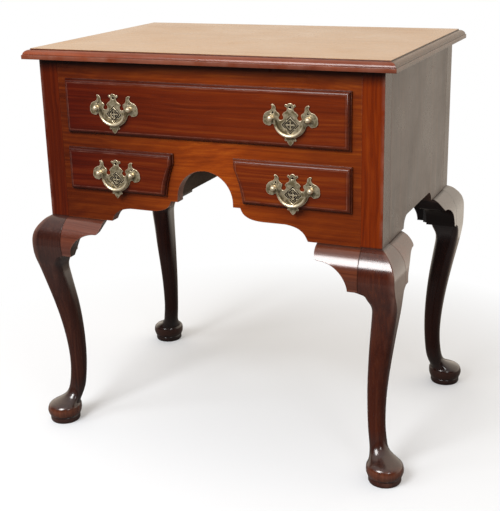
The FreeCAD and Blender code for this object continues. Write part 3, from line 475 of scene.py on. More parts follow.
def foot_and_shaft(inner_round):
    """Rings from the disc's neck to the knee: side, front, height and the three corner rounds.

    Foot stations are the part of the way up, the part of the way in to the ankle and the share of
    the foot's radius; shaft stations the part of the way up, the shares of SHAFT_SET, SHAFT_BACK
    and ANKLE_R, and the corner rounds as shares of the half width. A smooth curve joins them.
    """
    ankle_in = FOOT_OUT - FOOT_R + ANKLE_R
    foot = ((0.0, 0.0, 0.889), (0.14, 0.0, 0.954), (0.28, 0.0, 0.985), (0.44, 0.028, 0.972),
            (0.54, 0.056, 0.942), (0.63, 0.102, 0.865), (0.8, 0.407, 0.686), (1.0, 0.757, 0.535))
    shaft = ((0.044, 0.605, 1.037, 1.02, 0.96, 0.96), (0.11, 0.845, 1.007, 1.007, 0.97, 0.97),
             (0.22, 1.0, 1.0, 1.027, 0.95, 0.95), (0.35, 0.961, 1.022, 1.108, 0.87, 0.93),
             (0.515, 0.659, 1.119, 1.223, 0.68, 0.85), (0.65, 0.271, 1.142, 1.318, 0.54, 0.78),
             (0.77, -0.147, 1.097, 1.392, 0.44, 0.74), (0.85, -0.44, 1.067, 1.432, 0.35, 0.65),
             (0.92, -0.535, 0.86, 1.547, 0.26, 0.53), (0.965, -0.349, 0.53, 1.743, 0.16, 0.32),
             (0.989, -0.116, 0.358, 1.926, 0.1, 0.15))
    rows = []
    for up, shift, size in foot:
        across = FOOT_OUT + (ankle_in - FOOT_OUT) * shift
        rows.append((PAD_H + (FOOT_TOP - PAD_H) * up, across, across - FOOT_OUT - FOOT_SET,
                     FOOT_R * size, FOOT_R * size, 0.985, 0.985))
    for up, inside, further, width, outer, other in shaft:
        across = -SHAFT_SET * inside
        rows.append((FOOT_TOP + (KNEE_BASE - FOOT_TOP) * up, across, across - SHAFT_BACK * further,
                     ANKLE_R * width, ANKLE_R * width, outer, other))
    wide, deep = (POST + KNEE_FOOT_SIDE) / 2, (POST + KNEE_FOOT_FRONT) / 2
    rows.append((KNEE_BASE, wide - POST, deep - POST, wide, deep, KNEE_ARRIS / deep, 0.01))
    knots = np.array(rows)
    heights = np.r_[np.linspace(PAD_H, FOOT_TOP, 30), np.linspace(FOOT_TOP, FINE_Z, 60)[1:],
                    np.linspace(FINE_Z, KNEE_BASE, 24)[1:]]
    across, ahead, wide, deep, outer, other = smooth_table(knots[:, 0], knots[:, 1:], heights).T
    other = deep * np.clip(other, 0.005, 1)
    inner = np.maximum(other, np.interp(heights, [FADE_Z, KNEE_BASE], [0, inner_round]))
    return ((across - wide, across + wide), (ahead - deep, ahead + deep), heights,
            deep * np.clip(outer, 0.01, 1), other, inner)


def joint_lean(out):
    """Shift of the joint between knee and block; it grows from the block's back to its face."""
    return JOINT_LEAN * np.clip((out + BLOCK_INNER) / (KNEE_PROUD + BLOCK_INNER), 0, 1)


def leg_rings(inner_round):
    """Front right leg from the floor up: disc, foot and shaft, knee, post."""
    disc_z, radius = np.array([
        (0, PAD_R - PAD_TAPER - 1 * MM), (0.4 * MM, PAD_R - PAD_TAPER), (PAD_TAPER_H, PAD_R),
        (PAD_H - PAD_BEVEL_H, PAD_R), (PAD_H - 1 * MM, PAD_NECK_R + 0.3 * MM), (PAD_H, PAD_NECK_R)]).T
    disc = squares((FOOT_OUT - radius, FOOT_OUT + radius), (-FOOT_SET - radius, -FOOT_SET + radius),
                   disc_z, radius, radius)
    lower = squares(*foot_and_shaft(inner_round))
    side_out, up = knee_curve(34, KNEE_FOOT_SIDE)[::-1].T
    front_curve = knee_curve(400, KNEE_FOOT_FRONT)[::-1].T
    front_out = np.interp(up, front_curve[1], front_curve[0])
    knee = squares((-POST, side_out), (-POST, front_out), up,
                   np.minimum(KNEE_ARRIS, POST_ARRIS + side_out / 2), POST_JOINT, inner_round)
    inward = (HALF_W + side_out[:, None] - knee[..., 0]) / (POST + side_out[:, None])
    knee[..., 0] += joint_lean(-HALF_D - knee[..., 1]) * inward
    post_z = np.array([CASE_BASE + 0.3 * MM, CASE_BASE + 3 * MM, (CASE_BASE + CASE_TOP) / 2,
                       CASE_TOP - 2 * MM, CASE_TOP])
    post = squares((-POST, 0.0), (-POST, 0.0), post_z, POST_ARRIS, POST_JOINT)
    return np.concatenate([disc, lower, knee[1:], post])


def leg(node, side, end, board):
    """One leg: the front right one, mirrored where side or end asks for it.

    Its outer corner is rubbed, with painted highlight; dark waxy dirt and painted shade lie where it stands
    on the floor and in the joints with the disc and the case.
    """
    rings = leg_rings(KNEE_INNER if end < 0 else POST_JOINT)
    height = rings[..., 2]
    worn_and_highlighted = np.interp(height, [PAD_H, FOOT_TOP, FADE_Z, KNEE_BASE], [0.3, 0.0, 0.1, 0.7])
    worn_and_highlighted[:, ROUND_POINTS:] = 0
    dark = np.interp(height, [0, 2 * MM, PAD_H - 1.2 * MM, PAD_H, PAD_H + 2 * MM, CASE_BASE - 3 * MM,
                              CASE_BASE, CASE_BASE + 2 * MM], [1, 0.2, 0.2, 1, 0, 0, 1, 0])
    return ring_piece(node + "_carved", rings * (side, -end, 1), worn_and_highlighted, dark, board)


def block_edge(along):
    """Height of a knee block's lower edge: toe, quarter-round hollow, quarter-round nose."""
    hollow_w = BLOCK_L - BLOCK_NOSE_W - BLOCK_TOE_W
    hollow_h = CASE_BASE - BLOCK_END_H - BLOCK_NOSE_H - KNEE_BASE
    in_hollow = np.clip((along - BLOCK_TOE_W) / hollow_w, 0, 1)
    in_nose = np.clip((along - (BLOCK_L - BLOCK_NOSE_W)) / BLOCK_NOSE_W, 0, 1)
    hollow = KNEE_BASE + hollow_h * np.sqrt(1 - (1 - in_hollow) ** 2)
    return hollow + BLOCK_NOSE_H * (1 - np.sqrt(1 - in_nose ** 2))


def knee_block_rings(foot_proud, slim):
    """Sections of a knee block along the case, as (along, beyond the post face, height).

    Each section runs down the knee's curve from the case to the lower edge, round a small
    arris and along the underside. The front legs' blocks are slim: the underside ends in a
    slanting cut up to the back, and the back is shorter than the face.
    """
    nose = BLOCK_L - BLOCK_NOSE_W
    swing = np.linspace(0, math.pi / 2, 16)
    along = np.concatenate([
        np.array([0, 0.4, 1, 2]) * BLOCK_JOINT, np.linspace(4 * BLOCK_JOINT, BLOCK_TOE_W, 6)[:-1],
        BLOCK_TOE_W + (nose - BLOCK_TOE_W) * (1 - np.cos(swing)),
        nose + BLOCK_NOSE_W * np.sin(swing)[1:]])
    low = block_edge(along)
    out, up = knee_curve(120, foot_proud).T
    share = np.linspace(0, 1, BLOCK_FACE_POINTS) ** 1.5
    face_z = CASE_BASE + (low + BLOCK_ARRIS - CASE_BASE)[:, None] * share
    rounding = BLOCK_JOINT * np.clip(1 - along / BLOCK_JOINT, 0, 1) ** 2
    face_out = np.interp(-face_z, -up, out) - rounding[:, None]
    bend_out = face_out[:, -1:] - BLOCK_ARRIS * (1 - np.cos(BLOCK_ARRIS_TURNS))
    bend_z = (low + BLOCK_ARRIS)[:, None] - BLOCK_ARRIS * np.sin(BLOCK_ARRIS_TURNS)
    back = np.full((len(along), 1), -BLOCK_INNER)
    land, cut, undercut = back + 1 * MM, 0.0, 0.0
    if slim:
        land = np.maximum(bend_out[:, -1:] - BLOCK_LAND, land)
        cut, undercut = BLOCK_CUT, BLOCK_UNDERCUT / BLOCK_L
    outs = np.concatenate([back, face_out, bend_out, land, back], axis=1)
    ups = np.concatenate([np.full_like(back, CASE_BASE), face_z, bend_z, low[:, None],
                          (low + cut * (CASE_BASE - low))[:, None]], axis=1)
    inside = np.clip((face_out.max() - outs) / (face_out.max() + BLOCK_INNER), 0, 1)
    inside[:, 1:-2] = 0
    return np.stack([along[:, None] * (1 - inside * undercut), outs, ups], axis=-1)


def knee_block(node, side, end, under_side, board):
    """One knee block, beside a post, under the front or back board or under the side panel.

    Its lower arris and its nose are rubbed, with painted highlight; its underside is painted with shade, and
    dark waxy dirt lies in the joints.
    """
    foot_proud = KNEE_FOOT_SIDE if under_side else KNEE_FOOT_FRONT
    along, out, up = np.moveaxis(knee_block_rings(foot_proud, end < 0), -1, 0)
    if under_side:
        rings = np.stack([side * (HALF_W + out), end * (POST_Y - along), up], axis=-1)
    else:
        lean = joint_lean(out) * np.clip(1 - along / BLOCK_TOE_W, 0, 1)
        rings = np.stack([side * (POST_X + lean - along), end * (HALF_D + out), up], axis=-1)
    underside = BLOCK_FACE_POINTS + len(BLOCK_ARRIS_TURNS)
    worn_and_highlighted = np.zeros(rings.shape[:2])
    worn_and_highlighted[:, BLOCK_FACE_POINTS:underside] = 0.6
    worn_and_highlighted[-BLOCK_WORN_SECTIONS:] += 0.3
    dark = np.clip(1.6 - along / BLOCK_JOINT, 0, 1) + np.interp(up, [CASE_BASE - 3 * MM, CASE_BASE], [0, 1])
    # painted shade on the underside and the back, where the coat is also taken off
    dark[:, underside:] = 0.9
    return ring_piece(node + "_carved", rings, worn_and_highlighted, np.clip(dark, 0, 1), board, BLOCK_EDGE)


# ---- drawer fronts
def lipped_front(name, lip, body, board):
    """Drawer front: outlines that step in by the lip's section, from the inner face to the field.

    lip gives the outline at an inset; body is the outline of the part inside the case.
    """
    back_y = -HALF_D - SLIDE_GAP
    band_y = back_y - LIP_BAND
    quarter = band_y - LIP_QUIRK - LIP_FACE_Y
    # each row is inset, depth, how rubbed, how dark; the darkening on the quarter round is painted shade, and
    # the rubbing on the lip's edges partly painted highlight
    section = [(0, back_y, 0, 1), (0, band_y, 0.5, 0), (LIP_STEP, band_y, 0, 1),
               (LIP_STEP, band_y - LIP_QUIRK, 0, 0.6)]
    section += quarter_round(LIP_STEP, band_y - LIP_QUIRK, quarter, -quarter, 10, 0.1, 0.45)
    field = LIP_STEP + quarter
    section += [(field, LIP_FACE_Y, 0.8, 0), (field + 1 * MM, LIP_FACE_Y, 0, 0.3),
                (field + 4 * MM, LIP_FACE_Y, 0, 0)]
    outlines = [(body, BODY_Y, 0, 0), (body, back_y, 0, 1)] + [(lip(row[0]), *row[1:]) for row in section]
    rings = [facing_front(*outline.T, np.full(len(body), y)) for outline, y, _, _ in outlines]
    wear_and_highlight, grime_and_shade = ([row[n] for row in outlines] for n in (2, 3))
    return ring_piece(name, np.stack(rings), wear_and_highlight, grime_and_shade, board, LIP_ARRIS)


def long_front():
    """Long drawer's front: a plain rectangle."""
    x, low, high = LONG_HIGH.x, LONG_LOW.z, LONG_HIGH.z
    def lip(inset):
        return rectangle(-x + inset, x - inset, low + inset, high - inset)
    return lipped_front("long_drawer_face", lip, lip(LIP_OVERLAP + DRAWER_GAP), 0.0)


def small_front(side, hand, board):
    """Small drawer's front; its inner end drops straight, then slopes away from the arch."""
    mouth = ARCH_R + ARCH_STILE
    low, high, outer = SMALL_LOW.z, SMALL_HIGH.z, SMALL_HIGH.x

    def lip(inset):
        top_in = mouth - LIP_INNER_TOP + inset
        low_in = mouth - LIP_OVERLAP + inset
        shoulder = high - LIP_INNER_STRAIGHT - inset / 2
        hollow = ((top_in + low_in) / 2 + LIP_INNER_SAG, (shoulder + low + inset) / 2)
        slope = arc_through((top_in, shoulder), hollow, (low_in, low + inset), 12)
        square = [(outer - inset, low + inset), (outer - inset, high - inset), (top_in, high - inset)]
        return np.concatenate([square, slope]) * (side, 1)
    body = lip(LIP_OVERLAP + DRAWER_GAP)
    body[2:, 0] = side * (mouth + DRAWER_GAP)
    return lipped_front(hand + "_drawer_face", lip, body, board)


# ---- pulls
def on_plate(across, up):
    """Point of a pull plate about the middle of its posts; shares of its half width and height."""
    return across * (BORING / 2 + PLATE_MARGIN), up * PLATE_H


def plate_outline():
    """Bat-wing outline, arc by arc from the crown to the tip, then its mirror image."""
    arcs = ((0.078, 0.344, 0.113, 0.305), (0.157, 0.332, 0.2, 0.305), (0.183, 0.276, 0.135, 0.267),
            (0.117, 0.215, 0.165, 0.163), (0.226, 0.136, 0.296, 0.08), (0.274, -0.024, 0.346, -0.047),
            (0.422, -0.024, 0.413, 0.039), (0.396, 0.083, 0.426, 0.119), (0.5, 0.154, 0.535, 0.231),
            (0.578, 0.299, 0.665, 0.32), (0.704, 0.302, 0.674, 0.276), (0.691, 0.21, 0.813, 0.151),
            (0.965, 0.074, 1.0, -0.03), (0.983, -0.127, 0.848, -0.178), (0.757, -0.184, 0.691, -0.142),
            (0.617, -0.151, 0.57, -0.187), (0.461, -0.323, 0.27, -0.418), (0.217, -0.441, 0.161, -0.459),
            (0.191, -0.48, 0.213, -0.516), (0.174, -0.536, 0.135, -0.513), (0.1, -0.572, 0.0, -0.641))
    half = traced(on_plate(0.0, 0.359), [[on_plate(*arc[:2]), on_plate(*arc[2:])] for arc in arcs], fine=6)
    return np.concatenate([half, half[-2:0:-1] * (-1, 1)])


def fret():
    """Piercings of the plate: four triangles in a diamond, a chevron outside each corner of it."""
    bar = FRET_BAR / 2
    reach = FRET_DIAMOND - bar
    triangle = np.array([(bar, bar), (reach, bar), (bar, reach)])
    arm = FRET_FRAME * 0.42
    slot = FRET_SLOT / SIN_45
    chevron = np.array([(0, FRET_FRAME), (-arm, FRET_FRAME - arm), (-arm, FRET_FRAME - arm - slot),
                        (0, FRET_FRAME - slot), (arm, FRET_FRAME - arm - slot), (arm, FRET_FRAME - arm)])
    holes = []
    for quarter in range(4):
        turn = np.exp(0.5j * math.pi * quarter)
        spin = np.array([(turn.real, turn.imag), (-turn.imag, turn.real)])
        holes += [triangle @ spin - (0, FRET_DOWN), chevron @ spin - (0, FRET_DOWN)]
    return holes


def plate(name, spot, board):
    """Pierced plate of one pull, flat on its drawer front."""
    eye = traced(on_plate(-0.052, 0.231), [[on_plate(0.052, 0.231)], [on_plate(0.052, 0.258)],
                                           [on_plate(0, 0.29), on_plate(-0.052, 0.258)]], fine=6)
    wing = traced(on_plate(0.609, 0.104), [[on_plate(0.726, 0.098)],
                                           [on_plate(0.67, 0.133), on_plate(0.639, 0.187)]], fine=6)
    post_hole = np.stack(circle(24), axis=1) * POST_HOLE_R + (BORING / 2, 0)
    outlines = [plate_outline(), eye, wing, wing * (-1, 1), post_hole, post_hole * (-1, 1)] + fret()
    outlines = [outline + (spot.x, spot.z) for outline in outlines]
    return flat_board("plate_" + name, outlines, LIP_FACE_Y - PLATE_T, LIP_FACE_Y, PLATE_ARRIS, facing_front,
                      PLATE_RUB, board, grime_and_shade=1.0, dull=0.4)


def bail(name, spot, board):
    """Bail: circles along a line that runs out of one post, round the bow and into the other.

    The radius swells towards the bottom of the bow with the square of its depth.
    """
    end_x = BORING / 2 - math.sqrt(POST_HEAD_R ** 2 - BAIL_END_R ** 2) - BAIL_SHOULDER_GAP
    bow_r = end_x - BAIL_BEND_R
    pin_x = BORING / 2 + POST_HEAD_R / 2
    bend = np.linspace(0, math.pi / 2, 8)
    bow = np.linspace(0, math.pi, 49)[1:]
    shoulder = np.stack([end_x - BAIL_BEND_R * np.sin(bend), BAIL_BEND_R * (np.cos(bend) - 1)], axis=1)
    round_part = np.stack([bow_r * np.cos(bow), -BAIL_BEND_R - bow_r * np.sin(bow)], axis=1)
    middle = np.concatenate([shoulder, round_part, (shoulder * (-1, 1))[-2::-1]])
    depth = np.clip(-(middle[:, 1] + BAIL_BEND_R) / bow_r, 0, 1)
    radius = BAIL_END_R + (BAIL_MID_R - BAIL_END_R) * depth ** 2
    pins = np.array([(pin_x, 0.0), (end_x, 0.0)])
    line = np.concatenate([pins, middle, pins[::-1] * (-1, 1)])
    radius = np.r_[[BAIL_PIN_R] * 2, radius, [BAIL_PIN_R] * 2][:, None]
    heading = np.gradient(middle, axis=0)
    heading = np.concatenate([[(-1, 0)] * 2, heading, [(-1, 0)] * 2])
    heading[2] = heading[-3] = (-1, 0)
    heading = heading / np.linalg.norm(heading, axis=1)[:, None]
    across, ahead = circle(20)
    x = line[:, :1] - radius * heading[:, 1:] * across
    z = line[:, 1:] + radius * heading[:, :1] * across
    rings = np.stack([spot.x + x, spot.y + radius * ahead, spot.z + z], axis=-1)
    depth = np.r_[0, 0, depth, 0, 0]
    worn_and_highlighted, dark = np.clip(1.4 * depth - 0.4, 0, 1), np.clip(0.6 - depth, 0, 1)
    return ring_piece("bail_bow_" + name, rings, worn_and_highlighted, dark, board)


# ---- shader nodes
class Value:
    """A node's output. Sums, differences and products of values are made by Math nodes."""

    def __init__(self, tree, socket):
        self.tree, self.socket = tree, socket

    def __add__(self, other):
        return maths(self.tree, "ADD", self, other)

    def __sub__(self, other):
        return maths(self.tree, "SUBTRACT", self, other)

    def __rsub__(self, other):
        return maths(self.tree, "SUBTRACT", other, self)

    def __mul__(self, other):
        return maths(self.tree, "MULTIPLY", self, other)

    def __abs__(self):
        return maths(self.tree, "ABSOLUTE", self)

    def spread(self, low, high, to_low=0.0, to_high=1.0):
        """The value stretched from low..high to to_low..to_high, clamped."""
        return put(self.tree, "MapRange", {"Value": self, "From Min": low, "From Max": high,
                                           "To Min": to_low, "To Max": to_high})

    def blend(self, first, second):
        """Two colours, mixed by this value."""
        return put(self.tree, "Mix", {0: self, 6: first, 7: second}, 2, data_type="RGBA")

    def cloud(self, stretch, detail=2.0, roughness=0.5):
        """Noise at this place, after the place is stretched by three factors."""
        wide = vector_maths(self.tree, "MULTIPLY", self, stretch)
        return put(self.tree, "TexNoise", {"Vector": wide, "Scale": 1.0, "Detail": detail,
                                           "Roughness": roughness}, "Fac")


def feed(node, inputs):
    """Gives a node its inputs: a Value is linked, a number or colour is set."""
    for key, given in inputs.items():
        if isinstance(given, Value):
            given.tree.links.new(given.socket, node.inputs[key])
        else:
            node.inputs[key].default_value = given


def put(tree, kind, inputs=None, output=0, **settings):
    """Adds a node with these inputs and settings, and gives one of its outputs."""
    node = tree.nodes.new("ShaderNode" + kind)
    for key, setting in settings.items():
        setattr(node, key, setting)
    feed(node, inputs or {})
    return Value(tree, node.outputs[output])


def maths(tree, operation, *values):
    return put(tree, "Math", dict(enumerate(values)), operation=operation)


def vector_maths(tree, operation, *values, output="Vector"):
    return put(tree, "VectorMath", dict(enumerate(values)), output, operation=operation)


def coordinates(tree):
    return put(tree, "TexCoord", output="Object")


def place_axis(tree, axis):
    """One object coordinate."""
    return put(tree, "SeparateXYZ", {0: coordinates(tree)}, axis)


def distance(tree, x, z):
    """Length of the way x across and z up."""
    return vector_maths(tree, "LENGTH", put(tree, "CombineXYZ", {"X": x, "Z": z}), output="Value")


def painted(tree, label):
    """Value that the mesh carries at each point under this name."""
    return put(tree, "Attribute", output="Fac", attribute_name=label)


def relief(tree, height):
    """Bump in true height."""
    return put(tree, "Bump", {"Height": height, "Strength": 1.0, "Distance": 1.0})


# ---- masks
def ramp(axis, *ends, both_sides=False):
    """Mask that changes along one axis, or to both sides of the middle. ends are those of spread."""
    def mask(tree):
        along = place_axis(tree, axis)
        return (abs(along) if both_sides else along).spread(*ends)
    return mask


def overlap(first, second):
    """Mask that is the product of two."""
    return lambda tree: first(tree) * second(tree)


# each is 1 where its name says and 0 elsewhere, unless its last numbers say how strong it is
at_left_end = ramp("X", 0.05, -0.28)
# painted shade on the back legs and their knee blocks
shade_on_back_legs = ramp("Y", 0.0, 0.1, 0.0, 0.75)
# painted shadow that the top's overhang casts on the front board and the posts
shadow_under_top = ramp("Z", CASE_TOP - 26 * MM, CASE_TOP - 3 * MM, 0.0, 0.9)
on_top_face = ramp("Z", TOP_HIGH.z - 1.0 * MM, TOP_HIGH.z - 0.2 * MM)
on_post = ramp("Z", CASE_BASE - 2 * MM, CASE_BASE + 2 * MM)
on_left_post = overlap(on_post, at_left_end)
on_post_side = overlap(on_post, ramp("X", HALF_W - 0.6 * MM, HALF_W - 0.1 * MM, both_sides=True))
on_foot_side = overlap(ramp("Z", PAD_H, PAD_H + 3 * MM),
                       ramp("Z", PAD_H + 16 * MM, PAD_H + 22 * MM, 0.9, 0.0))
# painted reflection: the tops of the feet are made dark grey, as a glossy top mirroring a dark room looks
on_foot_top = overlap(ramp("Z", PAD_H + 18 * MM, PAD_H + 24 * MM),
                      ramp("Z", FOOT_TOP, FOOT_TOP + 40 * MM, 0.7, 0.0))


def on_knee_and_foot(tree):
    """1 on the knees and the feet, little on the shafts."""
    height = place_axis(tree, "Z")
    knee = height.spread(KNEE_BASE - 110 * MM, KNEE_BASE - 20 * MM, 0.15, 1.0)
    foot = height.spread(FOOT_TOP, FOOT_TOP + 40 * MM, 1.0, 0.15)
    return maths(tree, "MAXIMUM", knee, foot) * (1.0 - on_post(tree))


def clear_of_wax_and_shade(tree):
    """1 away from the dark waxy dirt and the painted shade."""
    return 1.0 - painted(tree, "grime_and_shade")


def on_end_moulding(tree):
    """1 on the moulding at the left and right ends of the top, as far as the mitres."""
    y = place_axis(tree, "Y")
    from_end = TOP_HIGH.x - abs(place_axis(tree, "X"))
    from_side = maths(tree, "MINIMUM", y - TOP_LOW.y, TOP_HIGH.y - y)
    return (from_side - from_end).spread(-0.2 * MM, 0.2 * MM)


def round_arch(tree):
    """Lighter tones round the arch, fading out over a hand's breadth."""
    above_crown = place_axis(tree, "Z") - (CASE_BASE + ARCH_SPRING + ARCH_R)
    return distance(tree, place_axis(tree, "X"), above_crown).spread(0.03, 0.2, 0.8, 0.0)


def shade_behind_piercings(tree):
    """1 on the drawer fronts where a plate is pierced, which gets painted shade so that the piercings show
    dark.
    """
    outward, height = abs(place_axis(tree, "X")), place_axis(tree, "Z")
    fret_spot, eye_spot, wing_spot = (0, -FRET_DOWN), on_plate(0, 0.26), on_plate(0.65, 0.137)
    holes = ((*fret_spot, FRET_FRAME), (*eye_spot, 3 * MM), (*wing_spot, 4 * MM))
    dark = 0.0
    for spot in (PULLS["long_right"], PULLS["small_right"]):
        across = abs(outward - spot.x)
        for x, z, radius in holes:
            away = distance(tree, across - x, height - (spot.z + z))
            dark = maths(tree, "MAXIMUM", dark, away.spread(radius + 0.5 * MM, radius - 0.5 * MM))
    return dark


# ---- materials
# edges blend towards a pale pink, partly real rubbing and partly painted highlight; recesses towards near
# black, dark waxy dirt with painted shade
RUBBED_AND_HIGHLIGHT_WOOD, WAX_AND_SHADE = (0.38, 0.19, 0.14, 1), (0.008, 0.004, 0.003, 1)
BARE_BRASS, DULL_BRASS, BRASS_DIRT = (1.0, 0.86, 0.6, 1), (0.23, 0.18, 0.09, 1), (0.03, 0.022, 0.012, 1)
PIT_DEPTH, BLOTCH_DEPTH = mm(0.03, 0.3)


def grain_group():
    """Mahogany: bands and fine lines along local X, open pores, a slanting figure, rubbing with painted
    highlight, old waxy dirt with painted shade.

    Bands and lines come from noise stretched along the grain and swayed across it, pores from
    finer noise cut off high, the figure from noise that runs across the grain at a slant.
    """
    tree = bpy.data.node_groups.new("mahogany_grain", "ShaderNodeTree")
    inputs = {"Place": "Vector", "Dark": "Color", "Mid": "Color", "Light": "Color",
              **dict.fromkeys(("Streak", "Figure", "Sway", "Wear_and_highlight", "Grime_and_shade"), "Float")}
    outputs = {"Color": "Color", "Roughness": "Float", "Height": "Float"}
    for way, sockets in (("INPUT", inputs), ("OUTPUT", outputs)):
        for label, kind in sockets.items():
            tree.interface.new_socket(label, in_out=way, socket_type="NodeSocket" + kind)
    given = tree.nodes.new("NodeGroupInput")
    place, dark, mid, light, streak, figured, swayed, wear_and_highlight, grime_and_shade = (
        Value(tree, given.outputs[label]) for label in inputs)
    sway = (place.cloud((3.5, 7.0, 7.0)) - 0.5) * swayed
    wood = vector_maths(tree, "ADD", place, put(tree, "CombineXYZ", {"Y": sway, "Z": sway}))
    bands = wood.cloud((0.8, 30.0, 30.0))
    lines = wood.cloud((2.5, 210.0, 210.0), 3.0, 0.6)
    hairs = wood.cloud((12.0, 700.0, 700.0))
    pores = wood.cloud((70.0, 1500.0, 1500.0), 1.0).spread(0.62, 0.72)
    slant = put(tree, "VectorRotate", {"Vector": wood, "Angle": 0.45, "Axis": (0.0, 1.0, 0.0)})
    figure = slant.cloud((16.0, 60.0, 60.0), 3.0, 0.55)
    tone = (bands * 0.3 + lines * 0.7 - 0.5) * streak * 3.4 + 0.5 + (figure - 0.5) * figured * 3.0
    colour = tone.spread(0.0, 0.5).blend(dark, mid)
    colour = tone.spread(0.5, 1.0).blend(colour, light)
    colour = hairs.spread(0.5, 0.75, 0.0, 0.35).blend(colour, dark)
    colour = (pores * 0.45).blend(colour, dark)
    # painted highlight on the arrises, together with their real rubbing
    rub_and_highlight = wear_and_highlight * place.cloud((40, 40, 40), 3.0).spread(0.3, 0.7)
    colour = (rub_and_highlight * 0.6).blend(colour, RUBBED_AND_HIGHLIGHT_WOOD)
    # dark waxy dirt, together with painted shade in the recesses and on the undersides
    wax_and_shade = grime_and_shade * place.cloud((25, 25, 25), 3.0).spread(0.2, 0.6, 0.7, 1.0)
    smudge = place.cloud((9, 9, 9), 4.0, 0.6)
    feed(tree.nodes.new("NodeGroupOutput"), {
        "Color": (wax_and_shade * 0.85).blend(colour, WAX_AND_SHADE),
        "Roughness": smudge.spread(0.3, 0.7, -0.04, 0.07) + pores * 0.12 + wax_and_shade * 0.15,
        "Height": lines * 0.25 - pores * 0.8})
    return tree


def new_material(name):
    """New material, its tree and the Principled shader in it."""
    material = bpy.data.materials.new(name)
    material.use_nodes = True
    return material, material.node_tree, material.node_tree.nodes["Principled BSDF"]


def wood(name, tones, roughness, streak=0.6, figure=0.0, sway=0.03, upright=False, grain_depth=0.03 * MM,
         waves=0.05 * MM, zones=(), coat_zone=None, gloss=0.5):
    """Wood in three tones, grain along X or up Z, moved by the board's own shift.

    Each zone gives tones of its own to a part of the piece: a mask, and the tones. A coat of
    varnish lies only where the coat zone's mask is 1.
    """
    material, tree, shader = new_material(name)
    shift = painted(tree, "board")
    apart = put(tree, "CombineXYZ", {"X": shift, "Y": shift, "Z": shift})
    place = vector_maths(tree, "ADD", coordinates(tree), apart)
    if upright:
        place = put(tree, "Mapping", {"Vector": place, "Rotation": (0.0, math.radians(90), 0.0)})
    tones = [(*tone, 1) for tone in tones]
    for mask, others in zones:
        share = mask(tree)
        tones = [share.blend(tone, (*other, 1)) for tone, other in zip(tones, others)]
    grain = tree.nodes.new("ShaderNodeGroup")
    grain.node_tree = GRAIN
    feed(grain, {"Place": place, "Dark": tones[0], "Mid": tones[1], "Light": tones[2],
                 "Streak": streak, "Figure": figure, "Sway": sway,
                 "Wear_and_highlight": painted(tree, "wear_and_highlight"), "Grime_and_shade": painted(tree, "grime_and_shade")})
    colour, rough, height = (Value(tree, grain.outputs[label]) for label in ("Color", "Roughness", "Height"))
    swell = coordinates(tree).cloud((14, 14, 14))
    feed(shader, {"Base Color": colour, "Roughness": rough + roughness, "IOR": 1.5,
                  "Specular IOR Level": gloss, "Coat IOR": 1.65, "Coat Roughness": 0.17,
                  "Normal": relief(tree, height * grain_depth + swell * waves)})
    if coat_zone:
        feed(shader, {"Coat Weight": coat_zone(tree)})
    return material


def aged_brass(name, polish=0.0):
    """Cast brass, finely pitted: pale where rubbed, a dull skin in blotches, dark in the piercings.

    polish takes the dull skin off the whole piece, as the mesh's rubbed values do at one place.
    """
    material, tree, shader = new_material(name)
    place = coordinates(tree)
    blotch = place.cloud((170, 170, 170), 4.0, 0.6)
    pits = place.cloud((700, 700, 700), 3.0, 0.6)
    dull = (blotch - (painted(tree, "wear_and_highlight") + polish) * 0.45).spread(0.33, 0.56)
    colour = dull.blend(BARE_BRASS, DULL_BRASS)
    feed(shader, {"Base Color": (painted(tree, "grime_and_shade") * 0.9).blend(colour, BRASS_DIRT),
                  "Roughness": dull.spread(0, 1, 0.3, 0.5), "Metallic": dull.spread(0, 1, 0.7, 0.4),
                  "Normal": relief(tree, pits * PIT_DEPTH + blotch * BLOTCH_DEPTH)})
    return material


# ---- camera, floor and light
CAMERA_AT = (0.7508, -1.7124, 0.92)
CAMERA_TURN = math.radians(24.127)              # towards -X
CAMERA_TILT = math.radians(-18.303)
CAMERA_ROLL = math.radians(-1.401)
CAMERA_LENS = 72.56                             # over a frame 36 high
FLOOR_R = 1.15
FLOOR_PLAIN_R = 0.25                            # beyond this the floor fades into the backdrop
FLOOR_FADE_R = 0.85
WHITE = (1, 1, 1, 1)
FLOOR_SEEN = (0.9, 0.93, 0.97, 1)
FLOOR_BOUNCE, FLOOR_BOUNCE_BEHIND = (0.12, 0.12, 0.12, 1), (0.55, 0.5, 0.45, 1)
ROOM_FLOOR, ROOM_WALL = (0.12, 0.12, 0.12, 1), (0.03, 0.03, 0.03, 1)
ROOM_CEILING, ROOM_BEHIND = (0.6, 0.56, 0.54, 1), (0.9, 0.8, 0.68, 1)


def camera():
    data = bpy.data.cameras.new("camera")
    data.sensor_fit = "VERTICAL"
    data.sensor_height = 36.0
    data.lens = CAMERA_LENS
    eye = in_scene("camera", data)
    turn = Matrix.Rotation(CAMERA_TURN, 4, "Z") @ Matrix.Rotation(math.pi / 2 + CAMERA_TILT, 4, "X")
    eye.matrix_world = Matrix.Translation(CAMERA_AT) @ turn @ Matrix.Rotation(CAMERA_ROLL, 4, "Z")
    bpy.context.scene.camera = eye


def seen_by_camera(tree):
    return put(tree, "LightPath", output="Is Camera Ray")


